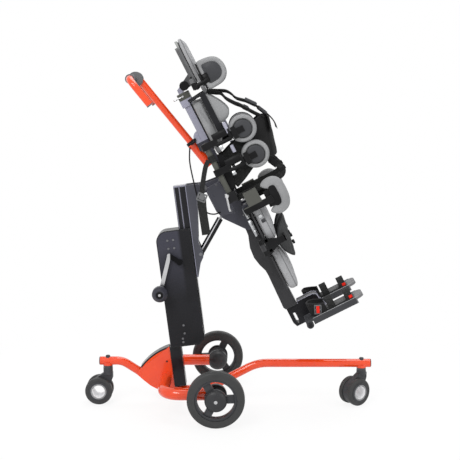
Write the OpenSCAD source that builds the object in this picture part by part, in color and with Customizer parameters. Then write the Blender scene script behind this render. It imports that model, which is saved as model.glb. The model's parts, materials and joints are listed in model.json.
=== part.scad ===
// Standing frame: rolling base, crank lift column and a tilting body support
// Lengths in millimetres, angles in degrees; the user faces +X, the right side is -Y

/* [Base] */
// Outer diameter of the bent leg tube
leg_d = 31; // [28:1:34]
// Wall of every bent steel tube
tube_wall = 2.5; // [2:0.5:3.5]
// Height of the rear leg's level run
rear_leg_z = 159; // [155:1:165]
// Height of the front leg's level run
front_leg_z = 150; // [147:1:156]
// Height of the leg tube under the column
low_leg_z = 50; // [46:1:52]
// Rear tube end behind the wheel axle
rear_reach = 430; // [422:1:460]
// Front tube end ahead of the wheel axle
front_reach = 566; // [560:1:600]
// Outer diameter of the side arms
arm_d = 42; // [36:1:46]
// Distance between the two big wheels' middle planes
track = 570; // [560:2:640]
// Diameter of the big wheels
wheel_d = 200; // [196:1:210]
// Width of the big wheels' tyres
wheel_w = 36; // [30:1:40]
// Diameter of the castor wheels
castor_d = 100; // [96:1:106]
// Castor wheel centre behind its stem
castor_trail = 33; // [28:1:38]
// Angle the front castor is turned to
front_swivel = 36; // [0:1:60]

/* [Lift column] */
// Angle the column leans back
lean = 7.2; // [5:0.2:9]
// Depth of the lower post from back to front
post_depth = 42; // [38:1:44]
// Width of the lower post across the frame
post_wide = 50; // [44:1:56]
// Width of the gear housing across the frame
housing_wide = 76; // [72:1:84]
// Height of the gear housing along the column
housing_high = 429; // [425:1:440]
// Depth of the sliding mast
mast_depth = 43; // [40:1:44]
// Width of the sliding mast across the frame
mast_wide = 44; // [40:1:46]
// Length of the sliding mast
mast_long = 517; // [500:1:530]
// Radius of the crank from its shaft to its knob
crank_r = 131; // [110:1:134]
// Diameter of the crank knob
knob_d = 56; // [48:1:58]

/* [Body support] */
// Angle the body support leans back
recline = 27; // [25:0.5:29]
// Clear distance between the two side plates of the tilt frame
plate_gap = 72; // [72:1:76]
// Width of the spine tube across the frame
spine_wide = 60; // [56:1:64]
// Length of the back cushion
back_long = 207; // [190:1:210]
// Width of the back cushion
back_wide = 224; // [200:2:224]
// Thickness of the back cushion
back_thick = 39; // [32:1:40]
// Length of each thigh cushion
thigh_long = 157; // [140:1:160]
// Length of each calf cushion
calf_long = 154; // [140:1:156]
// Distance of each side rail from the centre
rail_y = 120; // [118:1:126]
// Diameter of the side rails
rail_d = 20; // [18:1:22]
// Diameter of the round chest side pads
chest_pad_d = 96; // [84:1:97]
// Length of the hip pads
hip_pad_long = 127; // [118:1:134]
// Length of the knee cups
knee_cup_long = 142; // [120:1:150]
// Length of each footplate
foot_long = 225; // [205:1:235]
// Width of each footplate
foot_wide = 100; // [92:1:104]
// Distance between the two footplates' middle lines
foot_apart = 220; // [212:1:232]

/* [Head support and handle] */
// Length of the head cushion
head_long = 200; // [180:1:202]
// Width of the head cushion
head_wide = 200; // [170:2:200]
// Diameter of the head knob
head_knob_d = 33; // [28:1:36]
// Diameter of the push handle tube
handle_d = 25; // [22:1:26]
// Width of the handle bow between tube middles
bow_wide = 240; // [200:2:260]
// Angle between the handle stem and the body support
handle_lean = 12.2; // [10:0.2:13]

/* [Fits] */
// Gap between bolted or welded pieces
seat_gap = 0.2; // [0.1:0.05:0.4]
// Gap on each side of a turning or sliding fit
run_gap = 0.06; // [0.03:0.01:0.1]

/* [Hidden] */
$fn = 64;
cut = 1;
orange = [0.90, 0.22, 0.07];
black = [0.10, 0.10, 0.11];
dark = [0.25, 0.26, 0.28];
grey = [0.55, 0.56, 0.58];
steel = [0.75, 0.76, 0.78];

// Base places, measured from the wheel axle
axle_z = wheel_d / 2;
castor_r = castor_d / 2;
rear_stem_x = 28 - rear_reach;
front_stem_x = front_reach - 32;
rear_bend_x = 82 - rear_reach;
plug_lip = 3;
x_low = rear_stem_x - castor_trail - castor_r;
x_high = front_reach + plug_lip;
x_mid = (x_low + x_high) / 2;
leg_path = [[-rear_reach, rear_leg_z], [rear_bend_x, rear_leg_z], [-180, low_leg_z],
    [-40, low_leg_z], [150, front_leg_z], [front_reach, front_leg_z]];
leg_bends = [0, 70, 90, 90, 150, 0];
fin_thick = 5;
fin_y = leg_d / 2 + 0.2 + fin_thick;
fin_low = [rear_bend_x + 58, 126];
fin_high = [-174, 218];
fin_run = norm(fin_high - fin_low);
fin_ang = atan2(fin_high.y - fin_low.y, fin_high.x - fin_low.x);
cover_rise = 13;
cover_r = (pow(fin_run / 2, 2) + pow(cover_rise, 2)) / (2 * cover_rise);
cover_half = fin_y;
cover_start = 19;
hub_wide = 48;
hub_d = 50;
arm_x = -186;
arm_bend = 60;
wheel_in = (track - wheel_w) / 2;
hub_cover_d = 78;
hub_cover_thick = 15;
hub_end = wheel_in - hub_cover_thick - 2;
arm_y = hub_end - hub_wide / 2;
axle_d = 12;
tyre_in = wheel_d / 2 - 26;
rim_in = tyre_in - 9;
spokes = 3;
spoke_wide = 27;
spoke_thick = 16;
first_spoke = [56, -2];
stem_d = 12;
stem_house_d = 35;
socket_low = 9;
castor_gap = 44;
castor_wide = 18;
castor_bore = 24;
castor_hub = 30;
castor_flange = 35;
cap_d = 20;
cap_high = 5;

// Column places: u forward, v along the column, from the foot of the post
col_x = -132;
col_z = 62;
post_low = 7;
house_low = 158;
house_high = house_low + housing_high;
house_back = -16;
mast_back = 70;
mast_front = mast_back + mast_depth;
house_front = mast_front - 2;
house_wall = 5;
house_y = housing_wide / 2;
mast_low = 225;
mast_high = mast_low + mast_long;
top_round = 40;
foot_round = 30;
spigot_back = house_back + house_wall + 0.5;
spigot_front = 16;
spigot_half = 20;
post_wall = 4;
cavity_front = 66;
nut_half = 9;
spindle_u = 59;
spindle_d = 14;
journal_d = 10;
gear_r = 10;
gear_tip = 5;
gear_gap = 1.4;
slot_half = gear_r + gear_gap + 1;
crank_v = 471;
rib_low = 428;
rib_high = 438;
lid_thick = 2.2;
lid_y = house_y + seat_gap;
lid_edge = 3;
shaft_d = 12;
pivot_u = 179;
pivot_v = 724;
strut_u = 137;
strut_v = 487;
carriage_half = 34;
ear_thick = 8;
ear_r = 17;
tilt_pin_d = 16;
strut_pin_d = 10;
pin_head_r = 12;
pin_head = 4;
crank_bend = [-37, 24];
crank_end = crank_r * [-0.534, -0.846];
crank_y = 48;
crank_thick = 8;
knob_long = 46;
screw_d = 8;
screw_high = 2.5;

// Body places: n forward, s up along the body, from the tilt pin
piv_x = col_x + pivot_u * cos(lean) - pivot_v * sin(lean);
piv_z = col_z + pivot_u * sin(lean) + pivot_v * cos(lean);
plate_in = plate_gap / 2;
plate_thick = 5;
plate_out = plate_in + plate_thick;
spine_back = 70;
spine_front = 95;
spine_wall = 3;
spine_low = -130;
spine_top = 310;
spine_half = spine_wide / 2;
stem_half = spine_half - spine_wall - run_gap;
strut_n = 46;
strut_s = -97;
strut_foot_x = col_x + strut_u * cos(lean) - strut_v * sin(lean);
strut_foot_z = col_z + strut_u * sin(lean) + strut_v * cos(lean);
strut_head_x = piv_x + strut_n * cos(recline) - strut_s * sin(recline);
strut_head_z = piv_z + strut_n * sin(recline) + strut_s * cos(recline);
strut_dx = strut_head_x - strut_foot_x;
strut_dz = strut_head_z - strut_foot_z;
strut_ang = atan2(strut_dx, strut_dz);
strut_long = norm([strut_dx, strut_dz]);
strut_body = 0.725 * strut_long;
strut_d = 23;
rod_d = 10;
rod_long = strut_body;
strut_eye_r = 12;
strut_eye_half = 11.5;
board_back = spine_front + seat_gap;
board_front = board_back + 4.6;
board_half = 70;
back_mid = board_front + seat_gap + back_thick / 2;
back_s = 188.5;
wing_in = back_wide / 2 + 2;
wing_out = wing_in + 4.5;
rail_n = 78;
rail_top = 144;
rail_low = -64;
collar_r = 17;
collar_high = 24;
arm_in = rail_y + 11;
arm_thick = 5;
pad_thick = 30;
pad_back = 3;
upper_s = 131;
lower_s = 32;
pad_n = 221;
bar_low = -133;
bar_high = -123;
bar_back = 98;
bar_front = 108;
guide_end = 95;
hip_s = -120.5;
hip_y = 156;
hip_thick = 30;
hip_arm_y = 172;
knee_s = -276;
knee_n = 158;
knee_y = 80;
knee_r = 46;
knee_thick = 13;
knee_wrap = 78;
knee_arm_n = 179;
knee_arm_y = knee_y + sqrt(pow(knee_r, 2) - pow(knee_arm_n - knee_n, 2)) + 0.3;
knee_pin_n = 99;
knee_pin_y = 165;
knee_pin_d = 8;
beam_half = 30;
beam_low = -531;
beam_front = 112;
slide_back = 70;
slide_front = 104;
slide_half = 24;
bar_n = 122;
bar_s = -592;
bar_d = 16;
sole_s = -574;
sole_thick = 8;
heel_n = 111;
foot_y = foot_apart / 2;
knuckle_r = 13;
clamp_low = 283;
clamp_high = 334;
clamp_half = 35.5;
head_pin_n = 104;
head_pin_s = 353;
head_pin_d = 8;
head_lug_r = 14;
lug_half = 15.5;
head_back = 152.3;
head_thick = 21;
head_mid_s = 403;
cheek_y = 110.5;
cheek_thick = 26;
cheek_pin_n = 138;
cheek_pin_y = 122;
vest_n = 230;
vest_r = 96;
vest_half = 70;
vest_s = 157;
vest_lean = 14;
vest_high = 147;
strap_thick = 3;
strap_wide = 32;
strap_y = 36;
strap_r = sqrt(pow(vest_r + 4, 2) - pow(strap_y, 2)) + strap_thick / 2 + seat_gap;
lower_y = (vest_r + 3) * sin(vest_half) + seat_gap;
grip_n = 37;
grip_s = 143;
stem_low = -79;
stem_top = 308;
sleeve_d = 33;
sleeve_low = -85;
sleeve_top = 15;
collar_long = 12;
collar_lip = 6;
bow_x = -20;
bow_z = 328;
bow_low = 215;
bow_bend = 40;
grip_d = 34;
grip_half = 76;
cable_d = 5;
hang_y = 131;

// Frames: the whole object stands on the floor with the middle of its length at the origin
module base_frame() translate([-x_mid, 0, 0]) children();
module column_frame() base_frame() translate([col_x, 0, col_z]) rotate([0, -lean, 0]) children();
module body_frame() base_frame() translate([piv_x, 0, piv_z]) rotate([0, -recline, 0]) children();
module handle_frame() body_frame() translate([grip_n, 0, grip_s]) rotate([0, -handle_lean, 0]) children();
module strut_frame()
    base_frame() translate([strut_foot_x, 0, strut_foot_z]) rotate([0, strut_ang, 0]) children();
module both_sides() for (m = [0, 1]) mirror([0, m, 0]) children();

// Box between two corners
module block(a, b) translate(a) cube(b - a);
// Outline in the x-z plane made thick across the frame, from y = low to y = high
module across(low, high) translate([0, high, 0]) rotate([90, 0, 0]) linear_extrude(high - low) children();
// Round bar across the frame
module bar_y(d, low, high) translate([0, low, 0]) rotate([-90, 0, 0]) cylinder(d = d, h = high - low);

// Bent tube in a plane
function unit(v) = v / norm(v);
function way(p, i) = unit(p[i + 1] - p[i]);
function turn(a, b) = atan2(a.x * b.y - a.y * b.x, a * b);
function bend_len(p, r, i) =
    i <= 0 || i >= len(p) - 1 ? 0 : r[i] * tan(abs(turn(way(p, i - 1), way(p, i))) / 2);
module tube_ring(d, w) {
    difference() {
        circle(d = d);
        circle(d = d - 2 * w);
    }
}
module bent_tube(p, r, d, w) {
    for (i = [0 : len(p) - 2]) {
        a = p[i] + way(p, i) * bend_len(p, r, i);
        b = p[i + 1] - way(p, i) * bend_len(p, r, i + 1);
        translate([a.x, a.y, 0])
            rotate([0, 0, atan2(b.y - a.y, b.x - a.x)])
            rotate([0, 90, 0])
            linear_extrude(norm(b - a)) tube_ring(d, w);
    }
    for (i = [1 : len(p) - 2]) {
        t = turn(way(p, i - 1), way(p, i));
        s = p[i] - way(p, i - 1) * bend_len(p, r, i);
        c = s + sign(t) * r[i] * [-way(p, i - 1).y, way(p, i - 1).x];
        first = atan2(s.y - c.y, s.x - c.x);
        translate([c.x, c.y, 0])
            rotate([0, 0, t > 0 ? first : first + t])
            rotate_extrude(angle = abs(t)) translate([r[i], 0]) tube_ring(d, w);
    }
}

// Bent tube in a plane with gentle bends of any angle, in small steps
function heading(p, i) = atan2(way(p, i).y, way(p, i).x);
function bend_stations(p, r, i, steps) =
    let(t = turn(way(p, i - 1), way(p, i)), s = p[i] - way(p, i - 1) * bend_len(p, r, i),
        c = s + sign(t) * r[i] * [-way(p, i - 1).y, way(p, i - 1).x], h = heading(p, i - 1))
    [for (k = [0 : steps]) let(g = h + t * k / steps) [c + sign(t) * r[i] * [sin(g), -cos(g)], g]];
module gentle_tube(p, r, d, w) {
    sides = 24;
    last = len(p) - 1;
    stations = concat([[p[0], heading(p, 0)]], [for (i = [1 : last - 1]) each bend_stations(p, r, i, 5)],
        [[p[last], heading(p, last - 1)]]);
    n = len(stations);
    inner = n * sides;
    points = [for (q = [d / 2, d / 2 - w]) for (e = stations) for (k = [0 : sides - 1])
        let(a = k * 360 / sides)
        [e[0].x - q * cos(a) * sin(e[1]), e[0].y + q * cos(a) * cos(e[1]), q * sin(a)]];
    walls = [for (i = [0 : n - 2]) for (k = [0 : sides - 1])
        let(m = (k + 1) % sides, a = i * sides + k, b = i * sides + m, c = a + sides, f = b + sides)
        each [[a, f, b], [a, c, f], [inner + a, inner + b, inner + f], [inner + a, inner + f, inner + c]]];
    ends = [for (k = [0 : sides - 1]) let(m = (k + 1) % sides, z = (n - 1) * sides)
        each [[k, m, inner + m], [k, inner + m, inner + k],
            [z + k, inner + z + m, z + m], [z + k, inner + z + k, inner + z + m]]];
    polyhedron(points, concat(walls, ends));
}

// Stuffed pad: outline in x-y, crowned on both faces in z; the rear half can be squarer than the front
function spow(v, e) = sign(v) * pow(abs(v), e);
function pad_x(a, f, r, ef, er) = cos(a) >= 0 ? f * spow(cos(a), ef) : r * spow(cos(a), er);
function pad_y(a, b, ef, er) = b * spow(sin(a), cos(a) >= 0 ? ef : er);
module stuffed(f, r, b, t, crown, ef, er) {
    around = 36;
    levels = [-84, -66, -48, -30, -12, 12, 30, 48, 66, 84];
    last = len(levels) - 1;
    points = [for (h = levels) for (k = [0 : around - 1]) let(a = (k + 0.5) * 360 / around)
        [pow(cos(h), crown) * pad_x(a, f, r, ef, er), pow(cos(h), crown) * pad_y(a, b, ef, er),
        t / 2 * spow(sin(h), crown) / pow(sin(84), crown)]];
    sides = [for (j = [0 : last - 1]) for (k = [0 : around - 1]) let(m = (k + 1) % around)
        each [[j * around + k, (j + 1) * around + k, (j + 1) * around + m],
            [j * around + k, (j + 1) * around + m, j * around + m]]];
    floor_face = [[for (k = [0 : around - 1]) k]];
    top_face = [[for (k = [around - 1 : -1 : 0]) last * around + k]];
    polyhedron(points, concat(sides, floor_face, top_face));
}
// Pad that faces forward, and pad that faces sideways
module front_pad(long, wide, thick, crown, corner)
    rotate([0, 90, 0]) stuffed(long / 2, long / 2, wide / 2, thick, crown, corner, corner);
module side_pad(front, rear, half, thick, crown, ef, er)
    rotate([90, 0, 0]) stuffed(front, rear, half, thick, crown, ef, er);

// Place on the leaning chest panel: distance from its axis, and height from its top
function on_vest(r, z) = [vest_n + r * cos(vest_lean) + z * sin(vest_lean),
    vest_s - r * sin(vest_lean) + z * cos(vest_lean)];
// Flat strap along a line in the x-z plane
function strap_side(p, i) =
    let(a = i == 0 ? way(p, 0) : i == len(p) - 1 ? way(p, i - 1) : unit(way(p, i - 1) + way(p, i)))
        [-a.y, a.x];
module strap_line(p, t)
    polygon(concat([for (i = [0 : len(p) - 1]) p[i] + strap_side(p, i) * t / 2],
        [for (i = [len(p) - 1 : -1 : 0]) p[i] - strap_side(p, i) * t / 2]));

// Rolling base
module chassis() color(orange) base_frame() {
    rotate([90, 0, 0]) gentle_tube(leg_path, leg_bends, leg_d, tube_wall);
    both_sides() difference() {
        union() {
            across(fin_y - fin_thick, fin_y) fin_plate();
            side_arm();
        }
        translate([0, 0, axle_z]) bar_y(axle_d + 2 * run_gap, arm_y - hub_wide, hub_end + cut);
    }
    castor_socket(rear_stem_x, rear_leg_z);
    castor_socket(front_stem_x, front_leg_z);
}
// Saddle under the tube that the castor's stem turns in
module castor_socket(x, z) difference() {
    translate([x, 0, z - leg_d / 2 - socket_low]) cylinder(d = stem_house_d, h = leg_d / 2 + socket_low - 5);
    translate([x - stem_house_d, 0, z]) rotate([0, 90, 0]) cylinder(d = leg_d + 2 * seat_gap,
        h = 2 * stem_house_d);
    translate([x, 0, z - leg_d]) cylinder(d = stem_d + 2 * run_gap, h = leg_d);
}
module fin_plate() {
    front_low = [-155 - seat_gap, 66];
    polygon([fin_low, fin_high, front_low, [-120, 60], [-118, 43], [-160, 40],
        [-209, 51], [-243, 69], [-269, 90], [-293, 112]]);
}
module side_arm() {
    path = [[arm_x, fin_y - 1], [arm_x, arm_y], [-hub_d / 4, arm_y]];
    translate([0, 0, axle_z]) bent_tube(path, [0, arm_bend, 0], arm_d, tube_wall);
    translate([0, 0, axle_z]) bar_y(hub_d, arm_y - hub_wide / 2, hub_end);
    translate([arm_x, fin_y - 2, axle_z]) rotate([-90, 0, 0]) linear_extrude(7) tube_ring(arm_d + 6, 4);
}
module fin_cover() color(dark) base_frame()
    translate([fin_low.x, 0, fin_low.y]) rotate([0, -fin_ang, 0]) across(-cover_half, cover_half)
    intersection() {
        translate([fin_run / 2, cover_rise - cover_r]) circle(r = cover_r, $fn = 180);
        translate([cover_start, seat_gap]) square([fin_run - cover_start, cover_rise + cut]);
    }
module end_caps() color(black) base_frame() {
    plug_d = leg_d - 2 * tube_wall - 2 * seat_gap;
    for (e = [[-rear_reach, rear_leg_z, 180], [front_reach, front_leg_z, 0]])
        translate([e.x, 0, e.y]) rotate([0, 90 + e.z, 0]) {
            translate([0, 0, -14]) cylinder(d = plug_d, h = 14 + seat_gap);
            translate([0, 0, seat_gap]) cylinder(d1 = leg_d, d2 = leg_d - 3, h = plug_lip - seat_gap);
        }
    for (e = [[rear_stem_x, rear_leg_z], [front_stem_x, front_leg_z]])
        difference() {
            translate([e.x, 0, e.y + leg_d / 2 - 4]) cylinder(d1 = cap_d, d2 = cap_d - 5, h = cap_high + 4);
            translate([e.x - cap_d, 0, e.y]) rotate([0, 90, 0]) cylinder(d = leg_d + 2 * seat_gap,
                h = 2 * cap_d);
        }
    hub_covers();
}
module hub_covers() both_sides() translate([0, 0, axle_z])
    difference() {
        translate([0, hub_end + seat_gap, 0]) rotate([-90, 0, 0])
            cylinder(d1 = hub_cover_d - 22, d2 = hub_cover_d, h = hub_cover_thick);
        bar_y(axle_d + 2 * seat_gap, hub_end - cut, wheel_in);
    }
module wheel_axles() color(steel) base_frame() both_sides() translate([0, 0, axle_z]) {
    bar_y(axle_d, arm_y - hub_wide / 2, track / 2 + wheel_w / 2 + 12);
    bar_y(22, track / 2 + wheel_w / 2 + 12, track / 2 + wheel_w / 2 + 16);
}
module tyre_right() wheel_tyre(1);
module tyre_left() wheel_tyre(0);
module rim_right() wheel_rim(1);
module rim_left() wheel_rim(0);
module wheel_tyre(side) color(black) base_frame() mirror([0, side, 0])
    translate([0, track / 2, axle_z]) rotate([90, 0, 0]) rotate_extrude() tyre_shape();
module tyre_shape() {
    round = 9;
    half = wheel_w / 2;
    translate([tyre_in, -half]) square([wheel_d / 2 - tyre_in - round, wheel_w]);
    translate([tyre_in, -half + round]) square([wheel_d / 2 - tyre_in, wheel_w - 2 * round]);
    for (e = [-1, 1]) translate([wheel_d / 2 - round, e * (half - round)]) circle(r = round);
}
module wheel_rim(side) color(dark) base_frame() mirror([0, side, 0]) translate([0, track / 2, axle_z])
    rotate([-90, 0, 0]) difference() {
        union() {
            difference() {
                translate([0, 0, -14]) cylinder(r = tyre_in - seat_gap, h = 28);
                translate([0, 0, -15]) cylinder(r = rim_in, h = 30);
            }
            for (k = [0 : spokes - 1]) rotate([0, 0, first_spoke[side] + k * 360 / spokes])
                block([0, -spoke_wide / 2, -spoke_thick / 2], [rim_in + 2, spoke_wide / 2, spoke_thick / 2]);
            translate([0, 0, -wheel_w / 2 + 1]) cylinder(d = hub_cover_d - 10, h = wheel_w - 1);
            translate([0, 0, wheel_w / 2 - 8]) cylinder(d = hub_cover_d, h = 8);
            translate([0, 0, wheel_w / 2]) cylinder(d1 = hub_cover_d, d2 = hub_cover_d - 26, h = 11);
        }
        translate([0, 0, -wheel_w]) cylinder(d = axle_d + 2 * run_gap, h = 2 * wheel_w);
    }
// Castors: the fork carries a hollow hub that both wheels turn on
module rear_castor_frame() base_frame() translate([rear_stem_x, 0, 0]) children();
module front_castor_frame()
    base_frame() translate([front_stem_x, 0, 0]) rotate([0, 0, front_swivel]) children();
module castor_fork(top) color(dark) {
    end = castor_gap / 2 + castor_wide / 2;
    difference() {
        union() {
            translate([0, 0, castor_d + 8]) cylinder(d = stem_house_d, h = top - castor_d - 8);
            translate([0, 0, top]) cylinder(d = stem_d, h = socket_low);
            across(-11, 11) castor_body();
            translate([-castor_trail, 0, castor_r]) bar_y(2 * castor_hub, -end, end);
            for (e = [-1, 1]) translate([-castor_trail, e * (end + 1.2), castor_r])
                bar_y(2 * castor_flange, -1.2 + run_gap, 1.2);
        }
        translate([-castor_trail, 0, castor_r]) bar_y(2 * castor_bore, -end - 9, end + 9);
    }
}
module castor_body() {
    translate([-castor_trail, castor_r]) circle(r = castor_r - 4);
    polygon([[-castor_trail - 20, castor_d - 9], [-12, castor_d + 16], [stem_house_d / 2, castor_d + 16],
        [stem_house_d / 2, castor_d - 4], [4, castor_r + 12]]);
}
module castor_pair() color(black) translate([-castor_trail, 0, castor_r]) for (e = [-1, 1])
    translate([0, e * castor_gap / 2, 0]) rotate([90, 0, 0]) rotate_extrude()
    difference() {
        union() {
            translate([castor_hub + run_gap, -castor_wide / 2])
                square([castor_r - castor_hub - run_gap - 4, castor_wide]);
            translate([castor_hub + run_gap, -castor_wide / 2 + 4])
                square([castor_r - castor_hub - run_gap, castor_wide - 8]);
            for (k = [-1, 1]) translate([castor_r - 4, k * (castor_wide / 2 - 4)]) circle(r = 4);
        }
        for (k = [-1, 1]) translate([castor_hub, k * castor_wide / 2 - 0.4]) square([2, 0.8]);
    }
module castor_fork_rear() rear_castor_frame() castor_fork(rear_leg_z - leg_d / 2 - socket_low - 0.4);
module castor_fork_front() front_castor_frame() castor_fork(front_leg_z - leg_d / 2 - socket_low - 0.4);
module castor_wheels_rear() rear_castor_frame() castor_pair();
module castor_wheels_front() front_castor_frame() castor_pair();

// Lift column
module column_post() color(black) column_frame() difference() {
    union() {
        block([-post_depth / 2, -post_wide / 2, post_low], [post_depth / 2, post_wide / 2,
            house_low - seat_gap]);
        block([spigot_back, -spigot_half, house_low - cut], [spigot_front, spigot_half,
            house_high - top_round - 1]);
    }
    block([-post_depth / 2 + post_wall, -post_wide / 2 + post_wall, post_low - cut],
        [post_depth / 2 - post_wall, post_wide / 2 - post_wall, house_low - 10]);
    block([spigot_back + post_wall, -spigot_half + post_wall, house_low - 20],
        [spigot_front - post_wall, spigot_half - post_wall, house_high]);
}
// Side outline of the housing, drawn in by e on every edge
module house_side(e) {
    r = top_round - e;
    f = foot_round - e;
    back = house_back + e;
    front = house_front - e;
    low = house_low + e;
    high = house_high - e;
    difference() {
        translate([back, low]) square([front - back, high - low]);
        difference() {
            translate([back - cut, high - r]) square([r + cut, r + cut]);
            translate([back + r, high - r]) circle(r = r);
        }
        difference() {
            translate([front - f, low - cut]) square([f + cut, f + cut]);
            translate([front - f, low + f]) circle(r = f);
        }
    }
}
module gear_housing() color(black) column_frame() {
    hole_half = mast_wide / 2 + run_gap;
    back = house_back + house_wall;
    difference() {
        across(-house_y, house_y) house_side(0);
        intersection() {
            across(-house_y - cut, house_y - house_wall) house_side(house_wall);
            block([back, -house_y - cut, house_low + 10], [cavity_front, house_y - house_wall, house_high]);
        }
        block([mast_back - run_gap, -hole_half, house_low + 10], [house_front + cut, hole_half,
            house_high + cut]);
        block([cavity_front - cut, -slot_half, house_low + 10], [mast_back, slot_half, crank_v + gear_r + 2]);
        block([spigot_back - seat_gap, -spigot_half - seat_gap, house_low - cut],
            [spigot_front + seat_gap, spigot_half + seat_gap, house_low + 11]);
        translate([spindle_u, 0, house_low - cut]) cylinder(d = journal_d + 2 * run_gap, h = 12);
    }
    difference() {
        block([spindle_u - 14, -12, rib_low], [cavity_front + 2, house_y - house_wall + cut, rib_high]);
        translate([spindle_u, 0, rib_low - cut]) cylinder(d = spindle_d + 2 * run_gap, h = 12);
    }
}
module housing_cover() color(black) column_frame() difference() {
    across(-lid_y - lid_thick, -lid_y) house_side(lid_edge);
    translate([spindle_u, 0, crank_v]) bar_y(shaft_d + 2 * run_gap, -lid_y - 5, 0);
}
module housing_screws() color(steel) column_frame() {
    top = [for (u = [25, 46]) for (v = [523, 553]) [u, v]];
    low = [[42, 237], [42, 207], [33, 188], [33, 175]];
    for (p = concat(top, low)) translate([p.x, 0, p.y])
        bar_y(screw_d, -lid_y - lid_thick - screw_high, -lid_y - lid_thick);
}
module mast() color(black) column_frame() difference() {
    union() {
        difference() {
            block([mast_back, -mast_wide / 2, mast_low], [mast_front, mast_wide / 2, mast_high]);
            block([mast_back + 4, -mast_wide / 2 + 4, mast_low - cut],
                [mast_front - 4, mast_wide / 2 - 4, mast_high - 4]);
            both_sides() block([mast_back + 17, mast_wide / 2 - 2, mast_low - cut],
                [mast_back + 23, mast_wide / 2 + cut, mast_high + cut]);
        }
        block([spindle_u - 12, -nut_half, mast_low], [mast_back + 3, nut_half, mast_low + 28]);
    }
    translate([spindle_u, 0, mast_low - cut]) cylinder(d = spindle_d + 2 * run_gap, h = 30);
}
module carriage() color(black) column_frame() {
    back = mast_front + seat_gap;
    bore = tilt_pin_d + 2 * run_gap;
    difference() {
        union() {
            across(-carriage_half, carriage_half) carriage_side(back);
            both_sides() across(carriage_half - ear_thick, carriage_half) carriage_ear();
        }
        block([back + 5, -carriage_half + 7, 548], [pivot_u - ear_r - 3, carriage_half - 7, 742 + cut]);
        block([strut_u - 14, -strut_eye_half - 0.8, strut_v - 20], [pivot_u, strut_eye_half + 0.8, 540]);
        translate([pivot_u, 0, pivot_v]) bar_y(bore, -carriage_half - cut, carriage_half + cut);
        translate([strut_u, 0, strut_v]) bar_y(strut_pin_d + 2 * run_gap, -carriage_half - cut,
            carriage_half + cut);
    }
}
module carriage_side(back)
    polygon([[back, 408], [back + 5, 404], [133, 455], [strut_u + 8, strut_v - 12],
        [strut_u + 8, strut_v + 12], [135, 530], [140, 580], [146, 640], [153, 735], [150, 742],
        [back, 742]]);
module carriage_ear() {
    translate([pivot_u, pivot_v]) circle(r = ear_r);
    polygon([[146, 741], [pivot_u, pivot_v + ear_r], [pivot_u - 6, pivot_v - ear_r + 1], [143, 680]]);
}
module pivot_pins() color(steel) column_frame() {
    end = plate_out + seat_gap;
    translate([pivot_u, 0, pivot_v]) {
        bar_y(tilt_pin_d, -end, end);
        both_sides() bar_y(2 * pin_head_r, end, end + pin_head);
    }
    translate([strut_u, 0, strut_v]) bar_y(strut_pin_d, -carriage_half - 1, carriage_half + 1);
}
module lift_spindle() color(steel) column_frame() translate([spindle_u, 0, 0]) {
    translate([0, 0, house_low + 1]) cylinder(d = journal_d, h = 12);
    translate([0, 0, house_low + 10 + seat_gap])
        cylinder(d = spindle_d, h = crank_v - gear_r - gear_gap - house_low - 10);
    translate([0, 0, crank_v - gear_r - gear_gap]) cylinder(r1 = gear_r, r2 = gear_tip,
        h = gear_r - gear_tip);
}
module crank_frame() column_frame() translate([spindle_u, 0, crank_v]) rotate([0, lean, 0]) children();
module crank_arm() color(steel) crank_frame() {
    bar_y(shaft_d, -crank_y, -gear_r - gear_gap);
    translate([0, -gear_gap, 0]) rotate([90, 0, 0]) translate([0, 0, gear_tip])
        cylinder(r1 = gear_tip, r2 = gear_r, h = gear_r - gear_tip);
    across(-crank_y - crank_thick, -crank_y) crank_shape();
    translate([crank_end.x, 0, crank_end.y]) bar_y(10, -crank_y - crank_thick - knob_long + 4, -crank_y);
}
module crank_shape() {
    across_first = unit([-crank_bend.y, crank_bend.x]) * 8;
    across_last = unit([-(crank_end - crank_bend).y, (crank_end - crank_bend).x]) * 7;
    circle(r = 11);
    translate(crank_bend) circle(r = 8);
    translate(crank_end) circle(r = 9);
    polygon([across_first, crank_bend + across_first, crank_bend - across_first, -across_first]);
    polygon([crank_bend + across_last, crank_end + across_last, crank_end - across_last,
        crank_bend - across_last]);
}
module crank_knob() color(black) crank_frame() translate([crank_end.x, -crank_y - crank_thick - 0.6,
    crank_end.y])
    rotate([90, 0, 0]) difference() {
        union() {
            cylinder(d1 = knob_d - 14, d2 = knob_d, h = 12);
            translate([0, 0, 12]) cylinder(d = knob_d, h = knob_long - 24);
            translate([0, 0, knob_long - 12]) cylinder(d1 = knob_d, d2 = knob_d - 20, h = 12);
        }
        translate([0, 0, -cut]) cylinder(d = 10 + 2 * run_gap, h = knob_long - 3);
    }

// Tilting body support
module tilt_frame() color(black) body_frame() difference() {
    union() {
        both_sides() across(plate_in, plate_out) tilt_plate();
        block([spine_back, -plate_in - cut, spine_low], [spine_front, plate_in + cut, 4]);
        block([spine_back, -spine_half, 0], [spine_front, spine_half, spine_top]);
        block([2, -plate_in - cut, -84], [6, plate_in + cut, -22]);
        across(-22, 22) cap_shape();
        both_sides() block([spine_front - 3, plate_out - cut, -143], [113, guide_end, -113]);
    }
    block([spine_back + spine_wall, -spine_half + spine_wall, spine_low + 6],
        [spine_front - spine_wall, spine_half - spine_wall, spine_top + cut]);
    bar_y(tilt_pin_d + 2 * run_gap, -plate_out - cut, plate_out + cut);
    both_sides() block([bar_back - run_gap, plate_out + 2, bar_low - run_gap],
        [bar_front + run_gap, guide_end + cut, bar_high + run_gap]);
    translate([grip_n, 0, grip_s]) rotate([0, -handle_lean, 0])
        {
            translate([0, 0, sleeve_low - 8]) cylinder(d = sleeve_d + 2 * seat_gap,
                h = sleeve_top - sleeve_low);
            translate([0, 0, sleeve_top - collar_long - seat_gap])
                cylinder(d = sleeve_d + collar_lip + 2 * seat_gap, h = 60);
        }
}
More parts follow.
